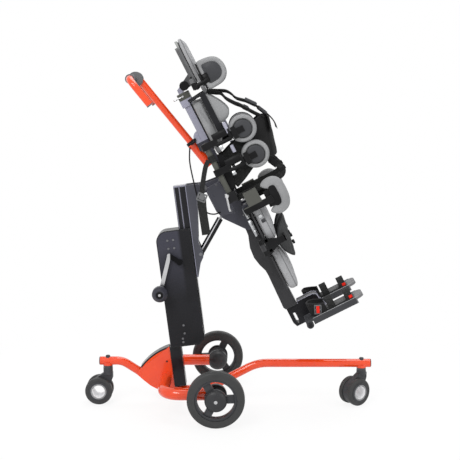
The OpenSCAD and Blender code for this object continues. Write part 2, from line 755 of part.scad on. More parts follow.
module tilt_plate() {
    circle(r = ear_r);
    polygon([[-4, ear_r - 1], [60, 10], [spine_front + 1, 4], [spine_front + 1, -205], [74, -208],
        [12, -128], [2, -95], [2, -12], [-8, -14]]);
}
module cap_shape() {
    translate([48, 121]) square([spine_back - 48 + cut, 48]);
    translate([spine_back, 169]) intersection() {
        circle(r = 22);
        translate([-22, 0]) square([22 + cut, 22]);
    }
}
module leg_beam() color(black) body_frame() difference() {
    union() {
        across(-beam_half, beam_half) beam_side();
        block([66, -plate_in + seat_gap, -206], [spine_front, plate_in - seat_gap, spine_low - seat_gap]);
        block([beam_front - cut, -146, -250], [beam_front + 5, 146, -150]);
        block([beam_front - 8, -126, -445], [beam_front - 1.5, 126, -318]);
        both_sides() block([92, beam_half - cut, -282], [106, knee_pin_y, -258]);
        both_sides() translate([knee_pin_n, knee_pin_y, -282]) cylinder(r = 9, h = 24);
        both_sides() translate([knee_pin_n, knee_pin_y, -300]) cylinder(d = knee_pin_d, h = 60);
    }
    block([slide_back, -slide_half, beam_low - cut], [slide_front, slide_half, -385]);
}
module beam_side()
    polygon([[66, spine_low - seat_gap], [66, -206], [64, -226], [49, -269], [46, -308], [52, -340],
        [62, -369], [63, -390], [58, -521], [63, beam_low], [108, beam_low], [108, -320],
        [beam_front, -250], [beam_front, spine_low - seat_gap]]);
module strut_cylinder() color(black) strut_frame() difference() {
    union() {
        translate([0, 0, strut_eye_r - 4]) cylinder(d = strut_d, h = strut_body - strut_eye_r + 4);
        bar_y(2 * strut_eye_r, -strut_eye_half, strut_eye_half);
    }
    translate([0, 0, 17]) cylinder(d = strut_d - 5, h = strut_body - 32);
    translate([0, 0, 17]) cylinder(d = rod_d + 2 * run_gap, h = strut_body);
    bar_y(strut_pin_d + 2 * run_gap, -strut_d, strut_d);
}
module strut_rod() color(steel) strut_frame() translate([0, 0, strut_long]) {
    translate([0, 0, -rod_long]) cylinder(d = rod_d, h = rod_long);
    bar_y(18, -8, 8);
    bar_y(rod_d, -20, 20);
}
module back_plate() color(black) body_frame() {
    block([board_back, -board_half, 110], [board_front, board_half, 268]);
    both_sides() {
        block([board_back, 45, 262], [board_front, board_half, 303]);
        block([board_back, board_half - cut, 293.5], [board_front, wing_out, 303]);
        block([board_back, wing_in - 7, 293.5], [141.5, wing_out, 303]);
        block([139, wing_in, 150], [160, wing_out, 303]);
    }
}
module back_cushion() color(grey) body_frame() translate([back_mid, 0, back_s])
    front_pad(back_long, back_wide, back_thick, 0.85, 0.5);
module shoulder_pads() color(grey) body_frame() both_sides()
    translate([147, wing_in - seat_gap - 18, 239]) side_pad(61, 5, 63, 36, 0.6, 0.9, 0.5);
module side_rails() color(dark) body_frame() both_sides() {
    translate([rail_n, rail_y, rail_low]) cylinder(d = rail_d, h = rail_top - rail_low);
    block([rail_n - 5, spine_half + seat_gap, 50], [rail_n + 8, rail_y, 64]);
    difference() {
        block([rail_n - 18, lower_y + strap_thick + seat_gap, rail_low - 18],
            [rail_n + 20, rail_y + 16, rail_low + 16]);
        translate([rail_n, rail_y, rail_low - 19]) cylinder(d = rail_d - 6, h = 19);
    }
    block([rail_n - 8, plate_out + seat_gap, rail_low - 12], [rail_n + 8, rail_y - 15, rail_low + 10]);
}
// Chest side pads: an arm with a slot that swings on the rail, with a round pad inside it
module chest_arm(s, side) color(dark) body_frame() mirror([0, side, 0]) difference() {
    union() {
        translate([rail_n, rail_y, s - collar_high / 2]) cylinder(r = collar_r, h = collar_high);
        block([rail_n, arm_in, s - 11], [pad_n + 4, arm_in + arm_thick, s + 11]);
        block([pad_n - 40, arm_in + cut, s - 22], [pad_n - 24, arm_in + 11, s + 22]);
        translate([pad_n, 0, s]) bar_y(65, arm_in - pad_back, arm_in + 1);
    }
    translate([rail_n, rail_y, s - collar_high]) cylinder(d = rail_d + 2 * run_gap, h = 2 * collar_high);
    block([124, arm_in - cut, s - 4.5], [166, arm_in + arm_thick + cut, s + 4.5]);
}
module chest_pad(s, side) color(grey) body_frame() mirror([0, side, 0])
    translate([pad_n, arm_in - pad_back - seat_gap, s]) rotate([90, 0, 0]) rotate_extrude() {
        square([chest_pad_d / 2 - 9, pad_thick]);
        translate([0, 9]) square([chest_pad_d / 2, pad_thick - 18]);
        for (k = [9, pad_thick - 9]) translate([chest_pad_d / 2 - 9, k]) circle(r = 9);
    }
module chest_arms_right() {
    chest_arm(upper_s, 1);
    chest_arm(lower_s, 1);
}
module chest_arms_left() {
    chest_arm(upper_s, 0);
    chest_arm(lower_s, 0);
}
module chest_pads_right() {
    chest_pad(upper_s, 1);
    chest_pad(lower_s, 1);
}
module chest_pads_left() {
    chest_pad(upper_s, 0);
    chest_pad(lower_s, 0);
}
// Hip pads: C-shaped pads on arms that slide across the frame
module hip_pad(side) color(grey) body_frame() mirror([0, side, 0]) difference() {
    translate([218, hip_y, hip_s]) side_pad(37, 36, hip_pad_long / 2, hip_thick, 0.5, 0.8, 0.6);
    block([170, hip_y - hip_thick, hip_s - 34], [221, hip_y + hip_thick, hip_s + 26]);
}
module hip_arm(side) color(dark) body_frame() mirror([0, side, 0]) {
    mid = (bar_low + bar_high) / 2;
    block([184, hip_y - 6, hip_s - 33.5], [220.5, hip_y + 6, hip_s + 25.5]);
    block([188, hip_y + 5, mid - 12], [206, hip_arm_y + cut, mid + 12]);
    block([bar_back, hip_arm_y, mid - 12], [206, hip_arm_y + 6, mid + 12]);
    block([bar_back, plate_out + 2.5, bar_low], [bar_front, hip_arm_y + cut, bar_high]);
    block([119, hip_arm_y - 20, mid + 11], [168, hip_arm_y + 6, mid + 60]);
}
module hip_pad_right() hip_pad(1);
module hip_pad_left() hip_pad(0);
module hip_arm_right() hip_arm(1);
module hip_arm_left() hip_arm(0);
module thigh_cushions() color(grey) body_frame() both_sides()
    translate([beam_front + 5 + seat_gap + 23, 85, -184.5]) front_pad(thigh_long, 124, 46, 0.5, 0.4);
module calf_cushions() color(grey) body_frame() both_sides()
    translate([beam_front - 1.5 + seat_gap + 21, 77, -380]) front_pad(calf_long, 106, 42, 0.5, 0.4);
// Knee cups: a curved pad on an arm that swings on the beam's side pin
module knee_cup(side) color(black) body_frame() mirror([0, side, 0]) {
    half = knee_cup_long / 2;
    translate([knee_n, knee_y, knee_s]) rotate([0, 0, -knee_wrap]) rotate_extrude(angle = 2 * knee_wrap)
        translate([knee_r - knee_thick / 2, 0]) {
            translate([-knee_thick / 2, -half + 6]) square([knee_thick, 2 * half - 12]);
            for (e = [-1, 1]) translate([0, e * (half - knee_thick / 2)]) circle(d = knee_thick);
        }
    difference() {
        union() {
            for (s = [-299, -257.5]) translate([knee_pin_n, knee_pin_y, s]) cylinder(r = 9, h = 16.5);
            block([knee_pin_n, knee_pin_y - 3, -299], [knee_arm_n + 6, knee_pin_y + 3, -241]);
            block([knee_arm_n, knee_arm_y, -299], [knee_arm_n + 6, knee_pin_y + 3, -241]);
        }
        block([80, knee_pin_y - 12, -282.5], [113, knee_pin_y + 12, -257.5]);
        translate([knee_pin_n, knee_pin_y, -320]) cylinder(d = knee_pin_d + 2 * run_gap, h = 100);
    }
}
module knee_cup_right() knee_cup(1);
module knee_cup_left() knee_cup(0);
module chest_panel() color(black) body_frame() translate([vest_n, 0, vest_s]) rotate([0, vest_lean, 0])
    rotate([0, 0, -vest_half]) rotate_extrude(angle = 2 * vest_half)
    polygon([[vest_r - 5, 6 - vest_high], [vest_r - 3, -vest_high], [vest_r - 1, -vest_high],
        [vest_r + 3, 16 - vest_high], [vest_r + 4, -vest_high / 2], [vest_r + 3, -16],
        [vest_r - 1, 0], [vest_r - 3, 0], [vest_r - 5, -6]]);
module straps() color(black) body_frame() {
    shoulder = [[board_front + seat_gap, 297], [150, 298], [170, 290], [226, 270], [255, 216], [280, 204],
        [306, 152], on_vest(strap_r - 1, 4), on_vest(strap_r, -16), on_vest(strap_r, -66)];
    lower = [on_vest((vest_r + 3) * cos(vest_half), 20 - vest_high), [266, -24], [281, -58], [272, -74],
        [240, -79], [90, -79]];
    hang = [[66, 84], [40, 66], [14, 30], [-8, -4], [-34, -66], [-60, -142]];
    both_sides() across(strap_y, strap_y + strap_wide) strap_line(shoulder, strap_thick);
    both_sides() across(lower_y, lower_y + strap_thick) strap_line(lower, 22);
    mirror([0, 1, 0]) {
        across(hang_y, hang_y + 2.5) strap_line(hang, 30);
        across(hang_y - 3, hang_y + 7) translate([-14, -20]) rotate(62) square([34, 36], center = true);
        difference() {
            translate([rail_n, rail_y, 72]) cylinder(r = hang_y + 2.5 - rail_y, h = 24);
            translate([rail_n, rail_y, 71]) cylinder(d = rail_d + 2 * seat_gap, h = 26);
        }
    }
}
module release_cable() color(black) body_frame() {
    p = [[20.5, -16.3, 150], [-2, -40, 104], [-22, -56, 30], [-36, -57, -36], [-30, -55, -78],
        [-10, -51, -98], [14, -plate_out - cable_d / 2 - seat_gap, -104]];
    sides = 8;
    ring = [for (i = [0 : len(p) - 1])
        let(a = unit(p[min(i + 1, len(p) - 1)] - p[max(i - 1, 0)]), b = unit(cross(a, [1, 0, 0])),
            c = cross(a, b))
        for (k = [0 : sides - 1]) p[i] + cable_d / 2 * (cos(k * 360 / sides) * b + sin(k * 360 / sides) * c)];
    walls = [for (i = [0 : len(p) - 2]) for (k = [0 : sides - 1]) let(m = (k + 1) % sides)
        each [[i * sides + k, (i + 1) * sides + m, i * sides + m],
            [i * sides + k, (i + 1) * sides + k, (i + 1) * sides + m]]];
    first = [[for (k = [0 : sides - 1]) k]];
    last = [[for (k = [sides - 1 : -1 : 0]) (len(p) - 1) * sides + k]];
    polyhedron(ring, concat(walls, first, last));
}

// Head support
module head_clamp() color(black) body_frame() difference() {
    block([64, -clamp_half, clamp_low], [108, clamp_half, clamp_high]);
    block([spine_back - seat_gap, -spine_half - seat_gap, clamp_low - cut],
        [spine_front + seat_gap, spine_half + seat_gap, spine_top + seat_gap]);
    block([spine_back + spine_wall, -spine_half + spine_wall, spine_top],
        [spine_front - spine_wall, spine_half - spine_wall, clamp_high + cut]);
}
module head_stem() color(dark) body_frame() {
    back = spine_back + spine_wall + run_gap;
    front = spine_front - spine_wall - run_gap;
    block([back, -stem_half, 215], [front, stem_half, clamp_high + 4]);
    difference() {
        across(-lug_half, lug_half) {
            translate([head_pin_n, head_pin_s]) circle(r = head_lug_r);
            polygon([[back, clamp_high + 1], [head_pin_n, head_pin_s - head_lug_r],
                [head_pin_n, head_pin_s + head_lug_r], [back, clamp_high + 16]]);
        }
        translate([head_pin_n, 0, head_pin_s]) bar_y(head_pin_d + 2 * run_gap, -30, 30);
    }
}
module head_plate() color(dark) body_frame() {
    plate_back = head_back - seat_gap - 8;
    plate_half = head_wide / 2 - 10;
    difference() {
        union() {
            block([plate_back, -plate_half, 345], [plate_back + 8, plate_half, 500]);
            block([plate_back - 10, -plate_half + 25, 370], [plate_back + cut, plate_half - 25, 480]);
            both_sides() across(lug_half + 0.5, lug_half + 8.5) head_lug(plate_back);
            both_sides() block([cheek_pin_n - 4, plate_half - 40, 346], [plate_back + cut, cheek_pin_y, 362]);
            both_sides() translate([cheek_pin_n, cheek_pin_y, 346]) cylinder(r = 8, h = 16);
        }
        translate([head_pin_n, 0, head_pin_s]) bar_y(head_pin_d + 2 * run_gap, -30, 30);
    }
    both_sides() translate([cheek_pin_n, cheek_pin_y, 320]) cylinder(d = head_pin_d, h = 30);
}
module head_lug(front) {
    translate([head_pin_n, head_pin_s]) circle(r = head_lug_r);
    polygon([[head_pin_n, head_pin_s + head_lug_r], [front + cut, 390], [front + cut, 347],
        [head_pin_n, head_pin_s - head_lug_r]]);
}
module head_cushion() color(grey) body_frame() translate([head_back + head_thick / 2, 0, head_mid_s])
    front_pad(head_long, head_wide, head_thick, 0.6, 0.45);
module head_knob() color(black) body_frame() translate([head_pin_n, 0, head_pin_s]) {
    bar_y(head_pin_d, -30, lug_half + 10);
    bar_y(head_knob_d, -46, -lug_half - 9.5);
    bar_y(14, lug_half + 9, lug_half + 13);
}
module head_side_pad(side) color(grey) body_frame() mirror([0, side, 0]) {
    translate([214, cheek_y, 351]) side_pad(46, 39, 51, cheek_thick, 0.5, 1, 0.55);
    plate_y = cheek_y + cheek_thick / 2 + seat_gap;
    across(plate_y, plate_y + 4) {
        translate([188, 321]) square([30, 65]);
        translate([213, 353.5]) circle(r = 32.5);
    }
    difference() {
        union() {
            block([cheek_pin_n, plate_y + cut, 322], [200, plate_y + 5, 340]);
            translate([cheek_pin_n, cheek_pin_y, 322]) cylinder(r = 9, h = 23.5);
        }
        translate([cheek_pin_n, cheek_pin_y, 310]) cylinder(d = head_pin_d + 2 * run_gap, h = 60);
    }
}
module head_side_pad_right() head_side_pad(1);
module head_side_pad_left() head_side_pad(0);

// Push handle
module handle_sleeve() color(orange) handle_frame() difference() {
    union() {
        translate([0, 0, sleeve_low]) cylinder(d = sleeve_d, h = sleeve_top - sleeve_low);
        translate([0, 0, sleeve_top - collar_long]) cylinder(d = sleeve_d + collar_lip, h = collar_long);
    }
    translate([0, 0, sleeve_low + 4]) cylinder(d = handle_d + 2 * run_gap, h = sleeve_top - sleeve_low);
}
module push_handle() color(orange) handle_frame() {
    half = bow_wide / 2;
    path = [[-half, bow_low], [-half, bow_z], [half, bow_z], [half, bow_low]];
    translate([0, 0, stem_low]) linear_extrude(stem_top - stem_low) tube_ring(handle_d, tube_wall);
    translate([bow_x, 0, 0]) rotate([90, 0, 90]) bent_tube(path, [0, bow_bend, bow_bend, 0], handle_d,
        tube_wall);
}
module handle_grip() color(grey) handle_frame() {
    bore = handle_d + 2 * seat_gap;
    difference() {
        union() {
            translate([bow_x, 0, bow_z]) bar_y(grip_d, -grip_half, grip_half);
            translate([bow_x / 2, 0, bow_z - 10]) bar_y(54, -18, 18);
        }
        translate([bow_x, 0, bow_z]) bar_y(bore, -grip_half - cut, grip_half + cut);
        translate([0, 0, bow_z - 60]) cylinder(d = bore, h = stem_top + seat_gap - bow_z + 60);
    }
    both_sides() translate([bow_x, bow_wide / 2, bow_low - 4]) cylinder(d = handle_d, h = 4 - seat_gap);
}

// Foot support
module foot_slide() color(black) body_frame() {
    half = slide_half - run_gap;
    difference() {
        union() {
            block([slide_back + run_gap, -half, -550], [slide_front - run_gap, half, -425]);
            across(-half, half) foot_side();
        }
        across(-half - cut, half + cut) for (s = [-593, -561]) translate([83, s]) circle(d = 10);
        block([78, -half - cut, -593], [88, half + cut, -561]);
    }
    both_sides() translate([bar_n, 0, bar_s]) bar_y(bar_d, half - cut, foot_y + foot_wide / 2 + 4);
}
module foot_side()
    polygon([[65, -534], [109, -534], [113, -524], [175, -524], [186, -531], [189, -553], [206, -606],
        [72, -607], [65, -590]]);
module footplate(side) color(dark) body_frame() mirror([0, side, 0]) translate([0, foot_y, 0]) {
    half = foot_wide / 2;
    toe = 26;
    front = heel_n + foot_long;
    difference() {
        union() {
            translate([0, 0, sole_s - sole_thick]) linear_extrude(sole_thick) {
                translate([heel_n, -half]) square([foot_long - toe, foot_wide]);
                translate([heel_n, -half + toe]) square([foot_long, foot_wide - 2 * toe]);
                for (e = [-1, 1]) translate([front - toe, e * (half - toe)]) circle(r = toe);
            }
            for (e = [-1, 1])
                block([bar_n + 16, e * (half - 3) - 3, sole_s - 22], [front - toe, e * (half - 3) + 3,
                    sole_s - 1]);
            for (e = [-1, 1]) translate([bar_n, 0, bar_s])
                bar_y(2 * knuckle_r, e * (half - 10) - 8, e * (half - 10) + 8);
        }
        translate([bar_n, 0, bar_s]) bar_y(bar_d + 2 * run_gap, -half - 9, half + 9);
    }
}
module footplate_right() footplate(1);
module footplate_left() footplate(0);
module sandal(side) color(black) body_frame() mirror([0, side, 0]) translate([0, foot_y, sole_s + seat_gap]) {
    cup = 41;
    difference() {
        translate([139 + cup, 0, 0]) cylinder(r = cup, h = 47);
        translate([139 + cup, 0, -cut]) cylinder(r = cup - 6, h = 49);
        block([139 + cup + 12, -cup - cut, -cut], [139 + 2 * cup + cut, cup + cut, 49]);
    }
    block([268, -38, 0], [310, 38, 5]);
    for (n = [206, 274]) translate([n, 0, 0]) rotate([90, 0, 90]) linear_extrude(26) difference() {
        translate([0, 2]) circle(r = 38);
        translate([0, 2]) circle(r = 35);
        translate([-40, -40]) square([80, 40]);
    }
}
module sandal_right() sandal(1);
module sandal_left() sandal(0);

chassis();
fin_cover();
end_caps();
wheel_axles();
tyre_right();
tyre_left();
rim_right();
rim_left();
castor_fork_rear();
castor_fork_front();
castor_wheels_rear();
castor_wheels_front();
column_post();
gear_housing();
housing_cover();
housing_screws();
mast();
carriage();
pivot_pins();
lift_spindle();
crank_arm();
crank_knob();
tilt_frame();
leg_beam();
strut_cylinder();
strut_rod();
back_plate();
back_cushion();
shoulder_pads();
side_rails();
chest_arms_right();
chest_arms_left();
chest_pads_right();
chest_pads_left();
hip_pad_right();
hip_pad_left();
hip_arm_right();
hip_arm_left();
thigh_cushions();
calf_cushions();
knee_cup_right();
knee_cup_left();
chest_panel();
straps();
release_cable();
head_clamp();
head_stem();
head_plate();
head_cushion();
head_knob();
head_side_pad_right();
head_side_pad_left();
handle_sleeve();
push_handle();
handle_grip();
foot_slide();
footplate_right();
footplate_left();
sandal_right();
sandal_left();
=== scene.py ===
"""Looks of the standing frame: finishes for its rigid parts, some with painted highlights and sheen, and
modelled cushions, harness and trim.
"""
import json
import math

import bpy
import numpy as np
from mathutils import Matrix, Vector, noise


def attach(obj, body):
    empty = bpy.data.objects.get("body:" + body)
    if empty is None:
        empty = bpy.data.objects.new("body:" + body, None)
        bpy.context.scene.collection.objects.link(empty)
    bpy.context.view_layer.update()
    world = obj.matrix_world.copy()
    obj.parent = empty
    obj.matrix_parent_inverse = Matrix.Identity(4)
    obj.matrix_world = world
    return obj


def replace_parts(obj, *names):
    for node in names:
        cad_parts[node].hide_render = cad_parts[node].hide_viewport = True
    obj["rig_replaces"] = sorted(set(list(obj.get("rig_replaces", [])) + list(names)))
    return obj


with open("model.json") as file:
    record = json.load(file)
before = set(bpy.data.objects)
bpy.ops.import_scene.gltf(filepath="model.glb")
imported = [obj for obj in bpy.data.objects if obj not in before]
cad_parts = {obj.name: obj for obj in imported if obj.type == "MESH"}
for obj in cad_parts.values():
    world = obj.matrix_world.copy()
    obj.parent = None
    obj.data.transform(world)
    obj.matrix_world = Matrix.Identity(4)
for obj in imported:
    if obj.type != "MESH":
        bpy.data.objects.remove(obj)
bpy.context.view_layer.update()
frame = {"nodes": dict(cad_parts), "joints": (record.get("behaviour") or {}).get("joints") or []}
scene = bpy.context.scene
JOINT = {j["name"]: j for j in frame["joints"]}
SIDES = {"right": -1, "left": 1}
MM = 0.001
X, Z = Vector((1, 0, 0)), Vector((0, 0, 1))
ORIGIN = (0, 0, 0)


# Places
def place_of(joint):
    return Vector(JOINT[joint]["pos_m"])


def axis_of(joint):
    return Vector(JOINT[joint]["axis"])


def out_of(up):
    """Forward direction at right angles to an upward one."""
    return Vector((up.z, 0, -up.x))


def frame_of(up, origin):
    """Matrix from (out, left, up) millimetres to the row frame in metres."""
    rows = Matrix((out_of(up), (0, 1, 0), up)).transposed().to_4x4()
    return Matrix.Translation(origin) @ rows @ Matrix.Scale(MM, 4)


# The body support's frame: n forward, y left, s up along the body, from the tilt pin
BODY_UP, TILT_PIN = axis_of("head_height"), place_of("tilt")
BODY_OUT = out_of(BODY_UP)
BODY = frame_of(BODY_UP, TILT_PIN)
HANDLE = frame_of(axis_of("handle_height"), BODY @ Vector((37, 0, 143)))
COLUMN_UP, COLUMN_FOOT = axis_of("mast_lift"), Vector((-0.174, 0, 0.062))
COLUMN_OUT = out_of(COLUMN_UP)
CRANK = frame_of(Z, place_of("crank_turn") * Vector((1, 0, 1)))


# Materials
MIX_FIRST, MIX_SECOND, MIX_RESULT = 6, 7, 2
WAVE_STEP = 0.314


class Look:
    """A procedural material, wired up a layer at a time. Coordinates are the row frame in metres."""

    def __init__(self, name, color, roughness, **sockets):
        self.mat = bpy.data.materials.new(name)
        self.mat.use_nodes = True
        self.take_up()
        self.color, self.paint = (*color, 1), None
        self.bsdf.inputs["Base Color"].default_value = self.color
        self.bsdf.inputs["Roughness"].default_value = roughness
        for socket, value in sockets.items():
            self.bsdf.inputs[socket.replace("_", " ")].default_value = value
        self.place = self.nodes.new("ShaderNodeTexCoord")
        self.normal = None

    def take_up(self):
        self.nodes, self.links = self.mat.node_tree.nodes, self.mat.node_tree.links
        self.bsdf = self.nodes["Principled BSDF"]

    def add(self, kind, links=(), **settings):
        node = self.nodes.new("ShaderNode" + kind)
        for key, value in settings.items():
            if key in node.inputs:
                node.inputs[key].default_value = value
            else:
                setattr(node, key, value)
        for source, socket in links:
            self.links.new(source, node.inputs[socket])
        return node

    def calc(self, operation, *values):
        return self.add("Math", [(v, i) for i, v in enumerate(values)], operation=operation).outputs[0]

    def vector(self, operation, first, second=None):
        """Vector arithmetic with a fixed second vector."""
        node = self.add("VectorMath", [(first, 0)], operation=operation)
        if second is not None:
            node.inputs[1].default_value = second
        return node.outputs

    def coords(self, turn=0.0, stretch=(1, 1, 1)):
        return self.add("Mapping", [(self.place.outputs["Object"], "Vector")],
                        Rotation=(0, turn, 0), Scale=stretch).outputs["Vector"]

    def noise(self, scale, detail=3, vector=None):
        return self.add("TexNoise", [(vector or self.place.outputs["Object"], "Vector")],
                        Scale=scale, Detail=detail).outputs["Fac"]

    def wave(self, vector, axis, pitch, distortion):
        return self.add("TexWave", [(vector, "Vector")], wave_type="BANDS", bands_direction=axis,
                        Scale=WAVE_STEP / pitch, Distortion=distortion).outputs["Fac"]

    def tint(self, color, mask):
        """Mixes a colour in where mask is one."""
        mix = self.add("Mix", data_type="RGBA")
        self.links.new(mask, mix.inputs[0])
        if self.paint is None:
            mix.inputs[MIX_FIRST].default_value = self.color
        else:
            self.links.new(self.paint, mix.inputs[MIX_FIRST])
        mix.inputs[MIX_SECOND].default_value = (*color, 1)
        self.paint = mix.outputs[MIX_RESULT]
        self.links.new(self.paint, self.bsdf.inputs["Base Color"])
        return self

    def band(self, value, low, high, start=0.0, end=1.0):
        """Start below low, end above high."""
        levels = {"From Min": low, "From Max": high, "To Min": start, "To Max": end}
        return self.add("MapRange", [(value, "Value")], **levels).outputs["Result"]

    def mottle(self, color, scale, low=0.35, high=0.75):
        return self.tint(color, self.band(self.noise(scale, 4), low, high))

    def edge_wear_and_highlight(self, color, radius):
        """Rounds the look of edges and lightens them a little, in patches: partly worn paint, partly a
        painted highlight along the edges.
        """
        soft = self.add("Bevel", samples=6, Radius=radius).outputs["Normal"]
        flat = self.add("NewGeometry").outputs["Normal"]
        facing = self.add("VectorMath", [(soft, 0), (flat, 1)], operation="DOT_PRODUCT").outputs["Value"]
        edge = self.band(facing, 0.975, 0.86)
        self.normal = soft
        return self.tint(color, self.calc("MULTIPLY", edge, self.band(self.noise(60), 0.2, 0.6)))

    def rough(self, low, high, scale):
        self.links.new(self.band(self.noise(scale), 0.3, 0.7, low, high), self.bsdf.inputs["Roughness"])
        return self

    def bump(self, height, distance, strength):
        node = self.add("Bump", [(height, "Height")], Distance=distance, Strength=strength)
        if self.normal is not None:
            self.links.new(self.normal, node.inputs["Normal"])
        self.normal = node.outputs["Normal"]
        self.links.new(self.normal, self.bsdf.inputs["Normal"])
        return self

    def grain(self, scale, distance, strength):
        return self.bump(self.noise(scale, 2), distance, strength)

    def threads(self, turn, pitch):
        """Plain weave: ribs along and across, on faces of any direction."""
        place, total = self.coords(turn), None
        for axis in "XYZ":
            wave = self.wave(place, axis, pitch, 0.6)
            total = wave if total is None else self.calc("MULTIPLY_ADD", total, wave)
        return total


def paler(color, gain, lift):
    return tuple(min(1, c * gain + lift) for c in color)


def painted(name, color, second, roughness, shine, coat, edge=None, radius=0.0026):
    look = Look(name, color, roughness, Specular_IOR_Level=shine, Coat_Weight=coat, Coat_Roughness=0.06)
    look.mottle(second, 9)
    if radius:
        # Paler edges: partly worn paint, partly painted highlight.
        look.edge_wear_and_highlight(edge or paler(color, 1.8, 0.05), radius)
    return look.rough(roughness - 0.06, roughness + 0.1, 35).grain(900, 0.0004, 0.12).mat


def moulded(name, color, second, roughness, grain=1400, shine=0.25):
    look = Look(name, color, roughness, Specular_IOR_Level=shine)
    # Paler edges: partly worn paint, partly painted highlight.
    look.mottle(second, 14).edge_wear_and_highlight(paler(color, 1.7, 0.025), 0.002)
    return look.rough(roughness - 0.08, roughness + 0.1, 40).grain(grain, 0.0004, 0.35).mat


def metal(name, color, second, roughness, stretch=(1, 40, 1)):
    look = Look(name, color, roughness, Metallic=1.0)
    look.mottle(second, 20)
    brushed = look.noise(30, 2, look.coords(0, stretch))
    return look.rough(roughness - 0.08, roughness + 0.12, 50).bump(brushed, 0.0003, 0.2).mat


def cloth(name, color, second, sheen, pitch=0.0022):
    look = Look(name, color, 0.88, Specular_IOR_Level=0.2, Sheen_Weight=sheen, Sheen_Roughness=0.45)
    look.mottle(second, 300, 0.3, 0.8)
    look.tint(tuple(c * 0.86 for c in color), look.band(look.noise(11), 0.5, 0.8))
    weave = look.threads(math.radians(-27), pitch)
    return look.bump(weave, 0.0005, 0.45).grain(70, 0.0012, 0.25).mat


def webbing(name, color, second, pitch=0.0024):
    """Strap weave that follows the strap: the mesh's UVs are metres across and along it."""
    look = Look(name, color, 0.8, Specular_IOR_Level=0.12, Sheen_Weight=0.06, Sheen_Roughness=0.4)
    look.mottle(second, 180, 0.4, 0.66)
    uv = look.place.outputs["UV"]
    weave = look.calc("MULTIPLY", look.wave(uv, "Y", pitch, 0.8), look.wave(uv, "X", 2 * pitch, 0.4))
    return look.tint(second, look.band(weave, 0.5, 0.9)).bump(weave, 0.0006, 0.6).mat


ORANGE = painted("orange_paint", (0.78, 0.05, 0.0035), (0.86, 0.068, 0.006), 0.2, 0.25, 0.8, radius=0)
BLACK_PAINT = painted("black_paint", (0.013, 0.013, 0.0145), (0.018, 0.018, 0.021), 0.26, 0.12, 0.0)
GLOSS_BLACK = painted("gloss_black", (0.007, 0.007, 0.009), (0.012, 0.012, 0.015), 0.16, 0.22, 0.0)
# Slate with a much paler edge colour: painted highlight lines along its edges.
HIGHLIT_EDGE_SLATE = painted("highlit_edge_slate", (0.06, 0.061, 0.075), (0.075, 0.076, 0.093), 0.3, 0.2, 0.0,
                      (0.4, 0.4, 0.46), 0.002)
SLATE_PAINT = painted("slate_paint", (0.042, 0.0425, 0.054), (0.056, 0.0565, 0.072), 0.3, 0.2, 0.0)
PALE_PAINT = painted("pale_paint", (0.3, 0.3, 0.37), (0.38, 0.38, 0.45), 0.3, 0.3, 0.1)
OLIVE_PAINT = painted("olive_paint", (0.07, 0.072, 0.062), (0.095, 0.096, 0.084), 0.36, 0.2, 0.0)
BLACK_PLASTIC = moulded("black_plastic", (0.006, 0.006, 0.0065), (0.011, 0.011, 0.012), 0.4, shine=0.12)
GREY_PLASTIC = moulded("grey_plastic", (0.042, 0.043, 0.047), (0.058, 0.059, 0.064), 0.42, shine=0.18)
MID_PLASTIC = moulded("mid_plastic", (0.11, 0.112, 0.116), (0.15, 0.152, 0.156), 0.4, shine=0.2)
KNOB_PLASTIC = moulded("knob_plastic", (0.03, 0.03, 0.04), (0.042, 0.042, 0.055), 0.36)
HUB_PLASTIC = moulded("hub_plastic", (0.03, 0.03, 0.032), (0.04, 0.04, 0.043), 0.34, shine=0.22)
# White for the castor bores' lining: painted light standing in for the backdrop seen through the open hubs.
BACKDROP_WHITE_PLASTIC = moulded("backdrop_white_plastic", (0.86, 0.86, 0.87), (0.92, 0.92, 0.93), 0.36)
PALE_PLASTIC = moulded("pale_plastic", (0.24, 0.245, 0.25), (0.3, 0.305, 0.31), 0.36)
RUBBER = moulded("rubber", (0.042, 0.0425, 0.043), (0.056, 0.0565, 0.057), 0.48, 700, 0.2)
GRIP_RUBBER = moulded("grip_rubber", (0.12, 0.125, 0.13), (0.16, 0.165, 0.17), 0.6, 600)
STEEL = metal("steel", (0.5, 0.5, 0.51), (0.6, 0.6, 0.61), 0.3)
DARK_STEEL = metal("dark_steel", (0.16, 0.16, 0.17), (0.22, 0.22, 0.23), 0.34)
ALUMINIUM = metal("aluminium", (0.5, 0.51, 0.52), (0.6, 0.61, 0.62), 0.36, (1, 1, 40))
GREY_CLOTH = cloth("grey_cloth", (0.25, 0.253, 0.258), (0.31, 0.313, 0.318), 0.12)
PALE_CLOTH = cloth("pale_cloth", (0.26, 0.263, 0.268), (0.32, 0.323, 0.328), 0.12)
LIGHT_CLOTH = cloth("light_cloth", (0.31, 0.313, 0.322), (0.38, 0.383, 0.392), 0.15)
DARK_CLOTH = cloth("dark_cloth", (0.04, 0.041, 0.042), (0.056, 0.057, 0.058), 0.08)
BLACK_CLOTH = cloth("black_cloth", (0.011, 0.011, 0.0112), (0.017, 0.017, 0.0173), 0.03)
PIPING = cloth("piping", (0.17, 0.172, 0.177), (0.21, 0.212, 0.217), 0.1, 0.0016)
DARK_PIPING = cloth("dark_piping", (0.016, 0.016, 0.017), (0.026, 0.026, 0.028), 0.04, 0.0016)
STRAP = webbing("strap_webbing", (0.014, 0.0145, 0.0142), (0.03, 0.0305, 0.03))
RED_TAB = webbing("red_webbing", (0.68, 0.014, 0.008), (0.8, 0.032, 0.016))


# Camera, light and floor
def add_object(name, data):
    obj = bpy.data.objects.new(name, data)
    scene.collection.objects.link(obj)
    return obj


def make_camera():
    data = bpy.data.cameras.new("camera")
    data.lens, data.sensor_width, data.clip_end = 80.9, 36, 50
    scene.camera = add_object("camera", data)
    scene.camera.location = (0.0067, -3.7105, 1.1864)
    scene.camera.rotation_euler = (math.radians(81.72), 0, 0)


